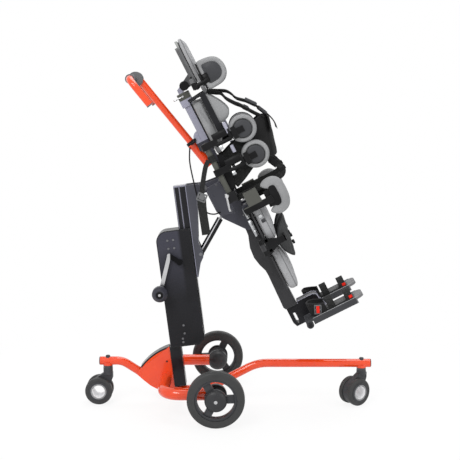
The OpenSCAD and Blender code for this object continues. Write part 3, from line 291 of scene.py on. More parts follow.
def make_light(name, place, aim_height, size, power):
    data = bpy.data.lights.new(name, "AREA")
    data.shape, data.size, data.energy = "DISK", size, power
    lamp = add_object(name, data)
    lamp.location = place
    lamp.rotation_euler = (Vector((0, 0, aim_height)) - Vector(place)).to_track_quat("-Z", "Y").to_euler()


def seen_directly(nodes, links):
    """One for camera, glossy and transmission rays, nought for the light that falls on things."""
    path = nodes.new("ShaderNodeLightPath")
    total = path.outputs["Is Camera Ray"]
    for ray in ("Is Glossy Ray", "Is Transmission Ray"):
        add = nodes.new("ShaderNodeMath")
        add.operation = "MAXIMUM"
        links.new(total, add.inputs[0])
        links.new(path.outputs[ray], add.inputs[1])
        total = add.outputs[0]
    return total


def make_world(glow):
    world = bpy.data.worlds.new("studio")
    world.use_nodes = True
    scene.world = world
    nodes, links = world.node_tree.nodes, world.node_tree.links
    back = nodes["Background"]
    back.inputs["Color"].default_value = (1, 1, 1, 1)
    strength = nodes.new("ShaderNodeMapRange")
    strength.inputs["To Min"].default_value = glow
    strength.inputs["To Max"].default_value = 1.0
    links.new(seen_directly(nodes, links), strength.inputs["Value"])
    links.new(strength.outputs["Result"], back.inputs["Strength"])


def make_floor(half, shade_kept, near, far):
    """White floor that keeps a share of its shading near the frame, fading out around it."""
    mesh = bpy.data.meshes.new("floor")
    corners = [(-half, -half, 0), (half, -half, 0), (half, half, 0), (-half, half, 0)]
    mesh.from_pydata(corners, [], [(0, 1, 2, 3)])
    look = Look("pale_floor", (0.99, 0.99, 0.99), 0.6)
    white = look.add("Emission", Strength=1.0)
    reach = look.vector("LENGTH", look.place.outputs["Object"])["Value"]
    fade = look.band(reach, near, far, 1 - shade_kept, 1.0)
    share = look.calc("MULTIPLY", seen_directly(look.nodes, look.links), fade)
    mix = look.add("MixShader", [(share, "Fac"), (look.bsdf.outputs[0], 1), (white.outputs[0], 2)])
    look.links.new(mix.outputs[0], look.nodes["Material Output"].inputs["Surface"])
    mesh.materials.append(look.mat)
    floor = add_object("floor", mesh)
    floor.location.z = -0.0005


scene.view_settings.view_transform = "Standard"
make_camera()
make_world(glow=0.6)
make_floor(half=20, shade_kept=0.13, near=0.5, far=1.3)
make_light("key", (-1.6, -2.6, 3.0), 0.7, 1.5, 50)
make_light("spark", (-0.9, -3.0, 2.6), 0.6, 0.3, 12)
make_light("fill", (2.6, -1.8, 1.6), 0.7, 2.0, 20)
make_light("top", (0.2, 0.8, 3.4), 0.6, 2.4, 44)


# Shapes, as points and faces in a frame's millimetres
def loft(rings, cap=True):
    """Skin over rings of equally many points, closed at both ends."""
    rings = np.asarray(rings, float)
    count, around = rings.shape[:2]
    faces = []
    for i in range(count - 1):
        a, b = i * around, (i + 1) * around
        faces += [(a + j, a + (j + 1) % around, b + (j + 1) % around, b + j) for j in range(around)]
    if cap:
        faces += [tuple(range(around)), tuple((count - 1) * around + j for j in range(around))]
    return rings.reshape(-1, 3), faces


def full_turn(count):
    return np.linspace(0, 2 * math.pi, count, endpoint=False)


def oval(half_a, half_b, corner, count=96):
    """Outline between an ellipse (corner 1) and a rectangle (corner 0)."""
    turn = full_turn(count) + math.pi / count
    c, s = np.cos(turn), np.sin(turn)
    return np.stack([half_a * np.sign(c) * np.abs(c) ** corner, half_b * np.sign(s) * np.abs(s) ** corner], 1)


def dome(thick, crown):
    """Profile of a stuffed pad as (share of the outline, height)."""
    lean = np.radians(np.linspace(-86, 86, 13))
    return [(math.cos(a) ** crown, thick / 2 * math.copysign(abs(math.sin(a)) ** crown, a)) for a in lean]


def front_ring(outline, share, depth, at=ORIGIN):
    """A forward pad's outline (across, up), scaled and set at a depth."""
    flat = [np.full(len(outline), depth), outline[:, 0] * share, outline[:, 1] * share]
    return np.stack(flat, 1) + np.asarray(at, float)


def side_ring(outline, share, out, at):
    """A sideways pad's outline (forward, up), scaled and set out."""
    flat = [outline[:, 0] * share, np.full(len(outline), out), outline[:, 1] * share]
    return np.stack(flat, 1) + np.asarray(at, float)


def front_pad(outline, profile, at=ORIGIN):
    return loft([front_ring(outline, k, h, at) for k, h in profile])


def side_pad(outline, profile, at, side):
    return loft([side_ring(outline, k, h * side, at) for k, h in profile])


def brick(low, high, bevel):
    """Box with chamfered edges."""
    low, high = np.minimum(low, high).astype(float), np.maximum(low, high).astype(float)
    mid, half = (low + high) / 2, (high - low) / 2

    def ring(shrink, z):
        a, b, e = half[0] - shrink, half[1] - shrink, bevel
        return np.array([(a, b - e, z), (a - e, b, z), (-a + e, b, z), (-a, b - e, z),
                         (-a, -b + e, z), (-a + e, -b, z), (a - e, -b, z), (a, -b + e, z)]) + mid

    top, drawn_in = half[2], bevel * 0.7
    return loft([ring(drawn_in, -top), ring(0, -top + bevel), ring(0, top - bevel), ring(drawn_in, top)])


AXES = {"n": (1, 2, 0), "y": (0, 2, 1), "s": (0, 1, 2)}


def turned(profile, at, axis, count, ring=False):
    """Body of revolution about an axis: the profile is (radius, height), and a ring's profile closes."""
    a, b, c = AXES[axis]
    profile = profile + profile[:1] if ring else profile
    turn = full_turn(count)
    rings = np.zeros((len(profile), count, 3))
    for i, (radius, height) in enumerate(profile):
        rings[i, :, a] = radius * np.cos(turn)
        rings[i, :, b] = radius * np.sin(turn)
        rings[i, :, c] = height
    return loft(rings + np.asarray(at, float), cap=not ring)


def turned_out(profile, at, side, count):
    """Body of revolution whose heights grow sideways, away from the middle."""
    return turned([(r, h * side) for r, h in profile], at, "y", count)


def bolt(at, side, radius, high):
    """Domed screw head with a socket, standing out sideways."""
    profile = [(1, 0), (1, 0.45), (0.82, 0.85), (0.55, 1), (0.5, 0.5), (0.1, 0.5)]
    return turned_out([(radius * r, high * h) for r, h in profile], at, side, 24)


def smooth_path(points, steps):
    """Curve through the points."""
    p = np.asarray(points, float)
    p = np.vstack([2 * p[0] - p[1], p, 2 * p[-1] - p[-2]])
    out = []
    for i in range(1, len(p) - 2):
        for t in np.linspace(0, 1, steps, endpoint=False):
            out.append(0.5 * (2 * p[i] + (p[i + 1] - p[i - 1]) * t
                              + (2 * p[i - 1] - 5 * p[i] + 4 * p[i + 1] - p[i + 2]) * t ** 2
                              + (3 * p[i] - p[i - 1] - 3 * p[i + 1] + p[i + 2]) * t ** 3))
    return np.array(out + [p[-2]])


def in_plane(places, y, steps):
    """Curve through (n, s) places at one distance sideways."""
    return smooth_path([(n, y, s) for n, s in places], steps)


def sweep(path, across, section, closed=False):
    """Rings of a section along a path: section points are (along across, along the path's normal)."""
    path = np.asarray(path, float)
    across = np.broadcast_to(np.asarray(across, float), path.shape)
    if closed:
        ahead = np.roll(path, -1, 0) - np.roll(path, 1, 0)
    else:
        ahead = np.gradient(path, axis=0)
    ahead /= np.linalg.norm(ahead, axis=1, keepdims=True)
    side = across - ahead * np.sum(across * ahead, 1, keepdims=True)
    side /= np.linalg.norm(side, axis=1, keepdims=True)
    up = np.cross(side, ahead)
    section = np.asarray(section, float)
    return path[:, None] + side[:, None] * section[None, :, :1] + up[:, None] * section[None, :, 1:]


def rope(path, radius, across=(0.31, 0.9, 0.3), closed=True, count=8):
    """Round cord along a path, for piping and seams."""
    turn = full_turn(count)
    rings = sweep(path, across, radius * np.stack([np.cos(turn), np.sin(turn)], 1), closed)
    if closed:
        rings = np.concatenate([rings, rings[:1]])
    return loft(rings, cap=not closed)


def flat_section(wide, thick):
    a, b, e = wide / 2, thick / 2, min(thick / 2, 0.9)
    return np.array([(a, b - e), (a - e, b), (a * 0.33, b), (-a * 0.33, b), (-a + e, b), (-a, b - e),
                     (-a, -b + e), (-a + e, -b), (-a * 0.33, -b), (a * 0.33, -b), (a - e, -b), (a, -b + e)])


def bend_round(shape, at, radius):
    """Wraps a flat front pad round an upright cylinder: its across becomes arc length."""
    points, faces = shape
    reach, turn = radius + points[:, 0], points[:, 1] / radius
    out = [at[0] + reach * np.cos(turn), at[1] + reach * np.sin(turn), at[2] + points[:, 2]]
    return np.stack(out, 1), faces


def oriented(shape, at, along, across):
    """Turns a shape so that its x runs along and its y across."""
    points, faces = shape
    x = np.array(Vector(along).normalized())
    z = np.array(Vector(along).cross(Vector(across)).normalized())
    return points @ np.array((x, np.cross(z, x), z)) + np.asarray(at, float), faces


def buckle(at, along, across, long, wide, thick):
    """Moulded strap buckle: a frame with a raised tongue and cross bars."""
    end, half, rail = long / 2, wide / 2, wide * 0.16
    parts = [brick((-end, e * (half - rail), -thick / 2), (end, e * half, thick / 2), 1.4) for e in (-1, 1)]
    for x in (-end + 2.5, 0, end - 2.5):
        parts.append(brick((x - 2.5, -half + 1, -thick * 0.4), (x + 2.5, half - 1, thick * 0.4), 1.0))
    tongue = wide * 0.28
    parts.append(brick((-long * 0.36, -tongue, -thick * 0.2), (long * 0.3, tongue, thick * 0.62), 1.6))
    return [oriented(p, at, along, across) for p in parts]


def edgewise(path):
    """Direction across a strap that lies flat against an upright side."""
    return np.cross(np.gradient(np.asarray(path, float), axis=0), (0, 1, 0))


# Pieces
def new_mesh(name, points, faces):
    """A mesh object with its faces turned outwards."""
    mesh = bpy.data.meshes.new(name)
    mesh.from_pydata(points.tolist(), [], faces)
    obj = add_object(name, mesh)
    bpy.context.view_layer.objects.active = obj
    obj.select_set(True)
    bpy.ops.object.mode_set(mode="EDIT")
    bpy.ops.mesh.select_all(action="SELECT")
    bpy.ops.mesh.normals_make_consistent(inside=False)
    bpy.ops.object.mode_set(mode="OBJECT")
    obj.select_set(False)
    return obj


def make(name, shapes, look, body, node=None, matrix=BODY, sharp=40, uv=None):
    """One piece from shapes in a frame, riding on a body: it may stand for a node."""
    points, faces, start = [], [], 0
    for part_points, part_faces in shapes if isinstance(shapes, list) else [shapes]:
        points.append(part_points)
        faces += [tuple(i + start for i in f) for f in part_faces]
        start += len(part_points)
    m = np.array(matrix)
    obj = new_mesh(name, np.concatenate(points) @ m[:3, :3].T + m[:3, 3], faces)
    mesh = obj.data
    mesh.polygons.foreach_set("use_smooth", [True] * len(mesh.polygons))
    mesh.set_sharp_from_angle(angle=math.radians(sharp))
    mesh.materials.append(look)
    if uv is not None:
        layer = mesh.uv_layers.new(name="UVMap")
        for loop in mesh.loops:
            layer.data[loop.index].uv = uv[loop.vertex_index]
    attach(obj, body)
    if node:
        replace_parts(obj, node)
    return obj


def make_strap(name, path, across, wide, thick, body, node, look=STRAP):
    """Webbing along a path, with UVs in metres across and along it."""
    section = flat_section(wide, thick)
    far = np.concatenate([[0], np.cumsum(np.linalg.norm(np.diff(path, axis=0), axis=1))])
    uv = [(a * MM, d * MM) for d in far for a, _ in section]
    make(name, loft(sweep(path, across, section)), look, body, node, uv=uv)


def depth_in_body(point):
    """How far forward a row-frame point is in the body's frame, in millimetres."""
    return (Vector(point) - TILT_PIN).dot(BODY_OUT) / MM


def inflate(obj, cap, back=-math.inf, pressure=4.0, frames=20):
    """Swells a pad with a short cloth simulation, holding what lies behind back, then smooths it."""
    mesh = obj.data
    mesh.remesh_voxel_size = 0.005
    bpy.context.view_layer.objects.active = obj
    bpy.ops.object.voxel_remesh()
    rest = np.array([v.co for v in mesh.vertices])
    pins = obj.vertex_groups.new(name="held")
    pins.add([i for i, p in enumerate(rest) if depth_in_body(p) < back], 1.0, "REPLACE")
    modifier = obj.modifiers.new("cloth", "CLOTH")
    settings = modifier.settings
    settings.quality = 4
    settings.mass = 0.25
    settings.tension_stiffness = settings.compression_stiffness = 12
    settings.shear_stiffness = 6
    settings.bending_stiffness = 0.4
    settings.effector_weights.gravity = 0
    settings.use_pressure = True
    settings.uniform_pressure_force = pressure
    settings.vertex_group_mass = pins.name
    modifier.collision_settings.use_collision = False
    for f in range(1, frames + 1):
        scene.frame_set(f)
    swollen = obj.evaluated_get(bpy.context.evaluated_depsgraph_get()).data
    moved = np.array([v.co for v in swollen.vertices]) - rest
    far = np.maximum(np.linalg.norm(moved, axis=1, keepdims=True), 1e-9)
    rest += moved * np.minimum(1, cap * MM / far)
    obj.modifiers.remove(modifier)
    obj.vertex_groups.clear()
    scene.frame_set(1)
    mesh.vertices.foreach_set("co", rest.ravel())
    mesh.update()
    mesh.polygons.foreach_set("use_smooth", [True] * len(mesh.polygons))
    finer = obj.modifiers.new("finer", "SUBSURF")
    finer.levels = finer.render_levels = 1


def copy_left(pieces, body, node=None):
    """The same pieces on the left side, where the first one is stuffed."""
    for obj in pieces:
        twin = obj.copy()
        twin.data = obj.data.copy()
        twin.name = obj.name.replace("right", "left")
        twin.data.transform(Matrix.Scale(-1, 4, (0, 1, 0)))
        twin.data.flip_normals()
        scene.collection.objects.link(twin)
        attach(twin, body)
        if node:
            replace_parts(twin, node)
            twin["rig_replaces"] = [node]


def remeshed(shape, voxel):
    """The same closed shape in even small faces, so that it can be bent and creased."""
    work = new_mesh("work", shape[0] * MM, shape[1])
    mesh = work.data
    mesh.remesh_voxel_size = voxel * MM
    bpy.ops.object.voxel_remesh()
    points = np.array([v.co for v in mesh.vertices]) / MM
    faces = [tuple(p.vertices) for p in mesh.polygons]
    bpy.data.objects.remove(work)
    bpy.data.meshes.remove(mesh)
    return points, faces


def quilted(shape, lines, depth, amount, scale):
    """Sews upright channels into a flat front pad at places across it, and crumples it a little."""
    stitch_wide = 2.4
    points, faces = shape
    for place in lines:
        points[:, 0] -= points[:, 0] * np.exp(-((points[:, 1] - place) / stitch_wide) ** 2) * depth
    for p in points:
        p[0] += amount * noise.noise(Vector(p / scale))
    return points, faces


def lay_on(obj, path):
    """Moves a path in the body's frame onto a piece's surface."""
    bpy.context.view_layer.update()
    to_body, to_obj = BODY.inverted(), obj.matrix_world.inverted()
    hits = [obj.closest_point_on_mesh(to_obj @ (BODY @ Vector(p)))[1] for p in path]
    return np.array([to_body @ (obj.matrix_world @ h) for h in hits])


# Finishes of the rigid parts, some with painted highlights and sheen
def two_tone_and_painted_light(base, name, color, mask_of):
    """A copy of a finish with another colour where mask_of says: a second paint colour for some parts,
    painted highlights and sheen for others.
    """
    look = Look.__new__(Look)
    look.mat = base.copy()
    look.mat.name = name
    look.take_up()
    look.place = next(n for n in look.nodes if n.type == "TEX_COORD")
    look.paint = look.bsdf.inputs["Base Color"].links[0].from_socket
    return look.tint(color, mask_of(look)).mat


def level(look, direction, low, high, zero=TILT_PIN, soft=0.4):
    """One between two levels along a direction, in millimetres from a place."""
    value = look.vector("DOT_PRODUCT", look.place.outputs["Object"], direction)["Value"]
    start = Vector(zero).dot(direction)
    over = look.band(value, start + (low - soft) * MM, start + (low + soft) * MM)
    under = look.band(value, start + (high + soft) * MM, start + (high - soft) * MM)
    return both(look, over, under)


def both(look, one, two):
    """One where both masks are one."""
    return look.calc("MULTIPLY", one, two)


def either(look, one, two):
    """One where one of the masks is one."""
    return look.calc("MAXIMUM", one, two)


def along_body(low, high, soft=0.4):
    return lambda look: level(look, BODY_UP, low, high, soft=soft)


def castor_sockets(look):
    """The black lower ends of the castor tubes."""
    masks = []
    for name, high in (("rear", 143.2), ("front", 134.2)):
        stem = place_of(f"castor_{name}_swivel")
        masks.append(both(look, level(look, X, -21, 21, stem), level(look, Z, 90, high, ORIGIN)))
    return either(look, *masks)


FIN_LOW, FIN_HIGH, FIN_RISE = Vector((-0.332, 0, 0.126)), Vector((-0.216, 0, 0.218)), 0.013
FIN_RADIUS = (((FIN_HIGH - FIN_LOW).length / 2) ** 2 + FIN_RISE ** 2) / (2 * FIN_RISE)
FIN_UP = Vector((FIN_LOW.z - FIN_HIGH.z, 0, FIN_HIGH.x - FIN_LOW.x)).normalized()
FIN_CENTRE = (FIN_LOW + FIN_HIGH) / 2 + FIN_UP * (FIN_RISE - FIN_RADIUS)


def fin_face(look):
    """The fin cover's sides below its dark rim."""
    normal = look.add("NewGeometry").outputs["Normal"]
    side = look.add("SeparateXYZ", [(normal, "Vector")]).outputs["Y"]
    flat = look.band(look.calc("ABSOLUTE", side), 0.8, 0.9)
    middle = look.vector("SUBTRACT", look.place.outputs["Object"], FIN_CENTRE)[0]
    radius = look.vector("LENGTH", look.vector("MULTIPLY", middle, (1, 0, 1))[0])["Value"]
    return both(look, flat, look.band(radius, FIN_RADIUS - 0.0052, FIN_RADIUS - 0.006))


def hip_box(look):
    return both(look, level(look, BODY_UP, -119, -60), level(look, BODY_OUT, 100, 170))


def cover_painted_sheen(look):
    """Painted sheen: the upper part of the housing's cover made paler."""
    return both(look, level(look, COLUMN_UP, 430, 760, COLUMN_FOOT, 95),
                level(look, COLUMN_OUT, -60, 68, COLUMN_FOOT, 5))


def mast_painted_highlights(look):
    """Painted highlights: bright lines along the mast and its top."""
    lines = [level(look, COLUMN_OUT, low, high, COLUMN_FOOT) for low, high in ((88.3, 91.7), (71.5, 74))]
    return either(look, either(look, *lines), level(look, COLUMN_UP, 737, 760, COLUMN_FOOT))


# Painted highlight: a bright line along one side of the strut's cylinder.
def strut_painted_highlight(look):
    return level(look, out_of(axis_of("strut_stroke")), -5, -1.5, place_of("strut_swing"))


LAVENDER = (0.34, 0.34, 0.42)
CHASSIS = two_tone_and_painted_light(ORANGE, "chassis_paint", (0.03, 0.031, 0.034), castor_sockets)
FIN_COVER = two_tone_and_painted_light(GLOSS_BLACK, "fin_cover_paint", (0.82, 0.07, 0.008), fin_face)
SPINE_TOP = two_tone_and_painted_light(SLATE_PAINT, "spine_paint", LAVENDER, along_body(150, 400))
HEAD_CLAMP = two_tone_and_painted_light(OLIVE_PAINT, "head_clamp_paint", LAVENDER, along_body(270, 309))
FOOT_TOE = two_tone_and_painted_light(GREY_PLASTIC, "footplate_plastic", (0.16, 0.16, 0.165),
                    lambda look: level(look, BODY_OUT, 306, 400))
HIP_BOX = two_tone_and_painted_light(BLACK_PLASTIC, "hip_plastic", (0.085, 0.086, 0.077), hip_box)
HEAD_BAR = two_tone_and_painted_light(MID_PLASTIC, "head_bar_plastic", (0.34, 0.35, 0.34), along_body(478, 540, 8))
# Painted sheen: paler lavender over the cover's upper part, fading downwards.
COVER = two_tone_and_painted_light(BLACK_PAINT, "cover_paint", (0.05, 0.05, 0.066), cover_painted_sheen)
# Painted highlights: pale lines along the mast and across its top.
MAST = two_tone_and_painted_light(GLOSS_BLACK, "mast_with_painted_highlights", (0.24, 0.24, 0.3), mast_painted_highlights)
# Painted highlight: a narrow pale line along the carriage's edge.
CARRIAGE = two_tone_and_painted_light(HIGHLIT_EDGE_SLATE, "carriage_with_painted_highlight", (0.25, 0.25, 0.32),
                    lambda look: level(look, COLUMN_OUT, 112, 115.6, COLUMN_FOOT))
# Painted highlight: a near-white line along the strut's cylinder.
STRUT = two_tone_and_painted_light(GLOSS_BLACK, "strut_with_painted_highlight", (0.75, 0.75, 0.78), strut_painted_highlight)
RAILS = two_tone_and_painted_light(OLIVE_PAINT, "rail_paint", (0.008, 0.008, 0.009), along_body(-200, -46))
CRANK_ARM = two_tone_and_painted_light(STEEL, "crank_steel", (0.012, 0.012, 0.013),
                     lambda look: level(look, X, -34, 40, place_of("crank_turn"), 1.5))
# Looks of the rigid parts; the cover, mast, carriage, strut and slate edges carry painted highlights and
# sheen.
FINISH_AND_PAINTED_LIGHT = {
    ORANGE: ["handle_sleeve", "push_handle"],
    CHASSIS: ["chassis"],
    FIN_COVER: ["fin_cover"],
    BLACK_PAINT: ["gear_housing", "back_plate", "foot_slide"],
    GLOSS_BLACK: ["column_post"],
    STRUT: ["strut_cylinder"],
    MAST: ["mast"],
    COVER: ["housing_cover"],
    CARRIAGE: ["carriage"],
    SPINE_TOP: ["tilt_frame"],
    RAILS: ["side_rails"],
    HEAD_CLAMP: ["head_clamp"],
    KNOB_PLASTIC: ["crank_knob"],
    HUB_PLASTIC: ["leg_beam"],
    BLACK_PLASTIC: ["head_knob", "chest_arms_right", "chest_arms_left"],
    HIP_BOX: ["hip_arm_right", "hip_arm_left"],
    GREY_PLASTIC: ["end_caps", "rim_right", "rim_left", "castor_fork_rear", "castor_fork_front"],
    HEAD_BAR: ["head_plate"],
    FOOT_TOE: ["footplate_right", "footplate_left"],
    PALE_PAINT: ["head_stem"],
    CRANK_ARM: ["crank_arm"],
    STEEL: ["lift_spindle", "strut_rod"],
    DARK_STEEL: ["pivot_pins", "wheel_axles", "housing_screws"],
    RUBBER: ["tyre_right", "tyre_left", "castor_wheels_rear", "castor_wheels_front"],
    GRIP_RUBBER: ["handle_grip"],
}
for look, names in FINISH_AND_PAINTED_LIGHT.items():
    for name in names:
        frame["nodes"][name].data.materials.clear()
        frame["nodes"][name].data.materials.append(look)


# Release cable, from the handle's sleeve to the tilt frame
def release_cable():
    thick = 0.005
    route = smooth_path([(20.5, -16.3, 150), (-2, -40, 104), (-22, -56, 30), (-36, -57, -36), (-30, -55, -78),
                         (-10, -51, -98), (14, -43.7, -104)], 6)
    data = bpy.data.curves.new("release_line", "CURVE")
    data.dimensions = "3D"
    data.bevel_depth = thick / 2
    data.bevel_resolution = 4
    data.use_fill_caps = True
    line = data.splines.new("POLY")
    line.points.add(len(route) - 1)
    places = [BODY @ Vector(p) for p in route]
    for point, place in zip(line.points, places):
        point.co = (*place, 1)
    obj = add_object("release_line", data)
    data.materials.append(BLACK_PLASTIC)
    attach(obj, "support")
    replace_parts(obj, "release_cable")


def cushion(name, node, body, shape, look, cap, back, cord):
    """A stuffed pad for a soft node, with piping laid along a closed line of its surface."""
    pad = make(name, shape, look, body, node)
    inflate(pad, cap, back)
    return pad, make(name + "_piping", rope(lay_on(pad, cord), 1.6), PIPING, body, node)


def head_and_back_cushions():
    edge, at = oval(97, 106, 0.42), (163, 0, 401)
    cushion("head_pad", "head_cushion", "head", front_pad(edge, dome(20, 0.4), at), LIGHT_CLOTH, 4, 157,
            front_ring(edge, 1.0, 6, at))
    edge, at = oval(109, 102, 0.22), (119.5, 0, 190)
    shape = remeshed(front_pad(edge, dome(37, 0.26), at), 5.0)
    taper_top, taper_long, rear = 136, 46, 101
    thin = np.clip((taper_top - shape[0][:, 2]) / taper_long, 0, 1) * 0.5
    shape[0][:, 0] -= (shape[0][:, 0] - rear) * thin
    cushion("back_pad", "back_cushion", "support", shape, GREY_CLOTH, 3.5, 106, front_ring(edge, 1.0, 13, at))


def shoulder_cushions():
    """Leaf-shaped pads, fullest near their lower end."""
    front = smooth_path([(0, 62), (15, 53), (32, 32), (47, 8), (57, -14), (60, -32), (52, -48), (34, -58),
                         (10, -60), (0, -60)], 7)
    rear = np.stack([np.full(24, -2.0), np.linspace(-58, 60, 24)], 1)
    edge, at = np.concatenate([front, rear]), (147, -95.8, 241)
    pieces = cushion("shoulder_pad_right", "shoulder_pads", "support", side_pad(edge, dome(32, 0.5), at, -1),
                     PALE_CLOTH, 4, 149, side_ring(edge, 1.0, -8, at))
    copy_left(pieces, "support")


def leg_cushions():
    for name, node, at, half_y, half_s, thick, crown in (
            ("thigh_pad_right", "thigh_cushions", (140.2, -85, -184.5), 60, 78, 43, 0.5),
            ("calf_pad_right", "calf_cushions", (131.7, -77, -379), 51, 77, 41, 0.48)):
        edge = oval(half_y, half_s, 0.34)
        pieces = cushion(name, node, "support", front_pad(edge, dome(thick, crown), at), LIGHT_CLOTH, 4,
                         at[0] - thick * 0.36, front_ring(edge, 0.97, thick * 0.22, at))
        copy_left(pieces, "support")


def circle(radius, height, at, thick):
    """Thin cord in a circle about a sideways axis."""
    turn = full_turn(64)
    path = np.stack([radius * np.cos(turn), np.full(64, height), radius * np.sin(turn)], 1)
    return rope(path + np.asarray(at, float), thick, (0, 1, 0))


def chest_pads():
    """Round side pads: a fat rim of cloth round a moulded back disc, on slotted brackets."""
    rim = [(0.5, -30), (20, -30), (34, -29), (41, -26.5), (45.5, -22), (47.6, -16), (48, -11), (47.4, -5),
           (45, 0.2), (41, 2.8), (37, 2.6), (34, 0.4), (33.2, -2.5), (0.5, -2.5)]
    disc = [(32.4, 0.4), (32.4, 3.4), (30.5, 4.6), (22, 5.2), (0.5, 5.4)]
    for name, side in SIDES.items():
        body, node = f"chest_{name}", f"chest_pads_{name}"
        middles = [(221, side * 127.8, s) for s in (131, 32)]
        rims = [turned_out(rim, at, side, 72) for at in middles]
        make(f"chest_pad_{name}", rims, PALE_CLOTH, body, node)
        cords = [circle(48.2, -18 * side, at, 1.3) for at in middles]
        make(f"chest_piping_{name}", cords, PIPING, body, node)
        make(f"chest_disc_{name}", [turned_out(disc, at, side, 64) for at in middles], GREY_PLASTIC, body)
        blocks, plates, tubes = [], [], []
        for s, n, low, high in ((131, 171, 140, 180), (32, 160, 71, 98)):
            blocks += [brick((112, side * 130.4, s + 5.6), (174, side * 137, s + 29), 1.4),
                       brick((112, side * 130.4, s - 18), (174, side * 137, s - 5.6), 1.4),
                       brick((168, side * 129, s - 14), (177, side * 140, s + 24), 1.6)]
            plates.append(brick((119, side * 134, s - 32), (132, side * 138, s - 17), 1.2))
            tube = [(6.4, low), (6.4, high - 2), (5, high), (0.5, high)]
            tubes.append(turned(tube, (n, side * 133.5, 0), "s", 28))
        make(f"chest_bracket_{name}", blocks, BLACK_PLASTIC, body)
        make(f"chest_plate_{name}", plates, ALUMINIUM, body)
        make(f"chest_tube_{name}", tubes, PALE_PAINT, body)


def hip_cushions():
    """C-shaped pads: a fat roll bent round a black moulded plate."""
    hip_y = -156
    path = in_plane([(195, -85), (203, -76.5), (217, -73), (233, -76), (243.5, -90), (246, -118), (243, -148),
                     (233, -166), (214, -172.5), (199, -166), (193, -157)], 0, 7)
    grow = np.ones(len(path))
    for i, k in enumerate((0.45, 0.78, 0.92, 0.98)):
        grow[i] = grow[-1 - i] = k
    c, s = np.cos(full_turn(28)), np.sin(full_turn(28))
    section = np.stack([15.2 * np.sign(c) * np.abs(c) ** 0.75, 17.5 * np.sign(s) * np.abs(s) ** 0.85], 1)
    rings = sweep(path, (0, 1, 0), section)
    rings = path[:, None, :] + (rings - path[:, None, :]) * grow[:, None, None]
    rings[:, :, 1] += hip_y
    pad = make("hip_roll_right", loft(rings), PALE_CLOTH, "hip_right", "hip_pad_right")
    inflate(pad, 2.5, pressure=3.0, frames=12)
    inner = smooth_path([(207, -88), (216, -84), (228, -89), (231, -104), (231, -138), (226, -154),
                         (213, -160), (198, -152), (190, -146), (186, -136), (198, -122), (205, -108)], 5)
    plate = side_pad(inner - (212, -120), [(0.98, -9), (1.0, -7), (1.0, 11), (0.96, 13), (0.02, 13.5)],
                     (212, hip_y, -120), -1)
    insert = make("hip_insert_right", plate, BLACK_PLASTIC, "hip_right", "hip_pad_right", sharp=30)
    copy_left((pad, insert), "hip_left", "hip_pad_left")


def head_side_cushions():
    """D-shaped pads: a cloth rim round a moulded panel, on an arm that swings on the head plate."""
    front = smooth_path([(-30, 52), (-6, 50.5), (16, 46), (33, 35), (43, 17), (46, -2), (43, -20), (33, -36),
                         (16, -47), (-6, -51), (-30, -52)], 7)
    rear = smooth_path([(-30, -52), (-36.5, -49), (-39.5, -42), (-40, -20), (-40, 20), (-39.5, 42),
                        (-36.5, 49), (-30, 52)], 6)
    edge = np.concatenate([front[:-1], rear[:-1]])
    rim = [(0.02, -13), (0.4, -13), (0.75, -12), (0.9, -9), (0.975, -4.5), (1.0, 0.5), (0.985, 6),
           (0.93, 10.8), (0.85, 13.2), (0.77, 12.8), (0.7, 10), (0.66, 7.5), (0.02, 7.5)]
    plate = [(0.02, 7), (0.68, 7), (0.68, 9.4), (0.64, 10.6), (0.02, 10.8)]
    for name, side in SIDES.items():
        body, node = f"head_side_{name}", f"head_side_pad_{name}"
        at = (217, side * 110.5, 353)
        pad = side_pad(edge, rim, at, side)
        make(f"cheek_pad_{name}", pad, PALE_CLOTH, body, node, sharp=60)
        make(f"cheek_panel_{name}", side_pad(edge, plate, at, side), GREY_PLASTIC, body, node)
        make(f"cheek_piping_{name}", rope(side_ring(edge, 1.003, -5 * side, at), 1.2), PIPING, body, node)
        arm = [brick((138, side * 121.5, 325), (196, side * 126.5, 339), 1.5),
               brick((176, side * 120.5, 326), (197, side * 125.5, 358), 2.5),
               brick((172.5, side * 103, 304), (176.5, side * 122, 402), 1.2),
               brick((167, side * 104, 320), (175, side * 124, 366), 2.0),
               turned([(8.9, 322), (8.9, 345.4)], (138, side * 122, 0), "s", 32)]
        make(f"cheek_arm_{name}", arm, BLACK_PLASTIC, body, node)


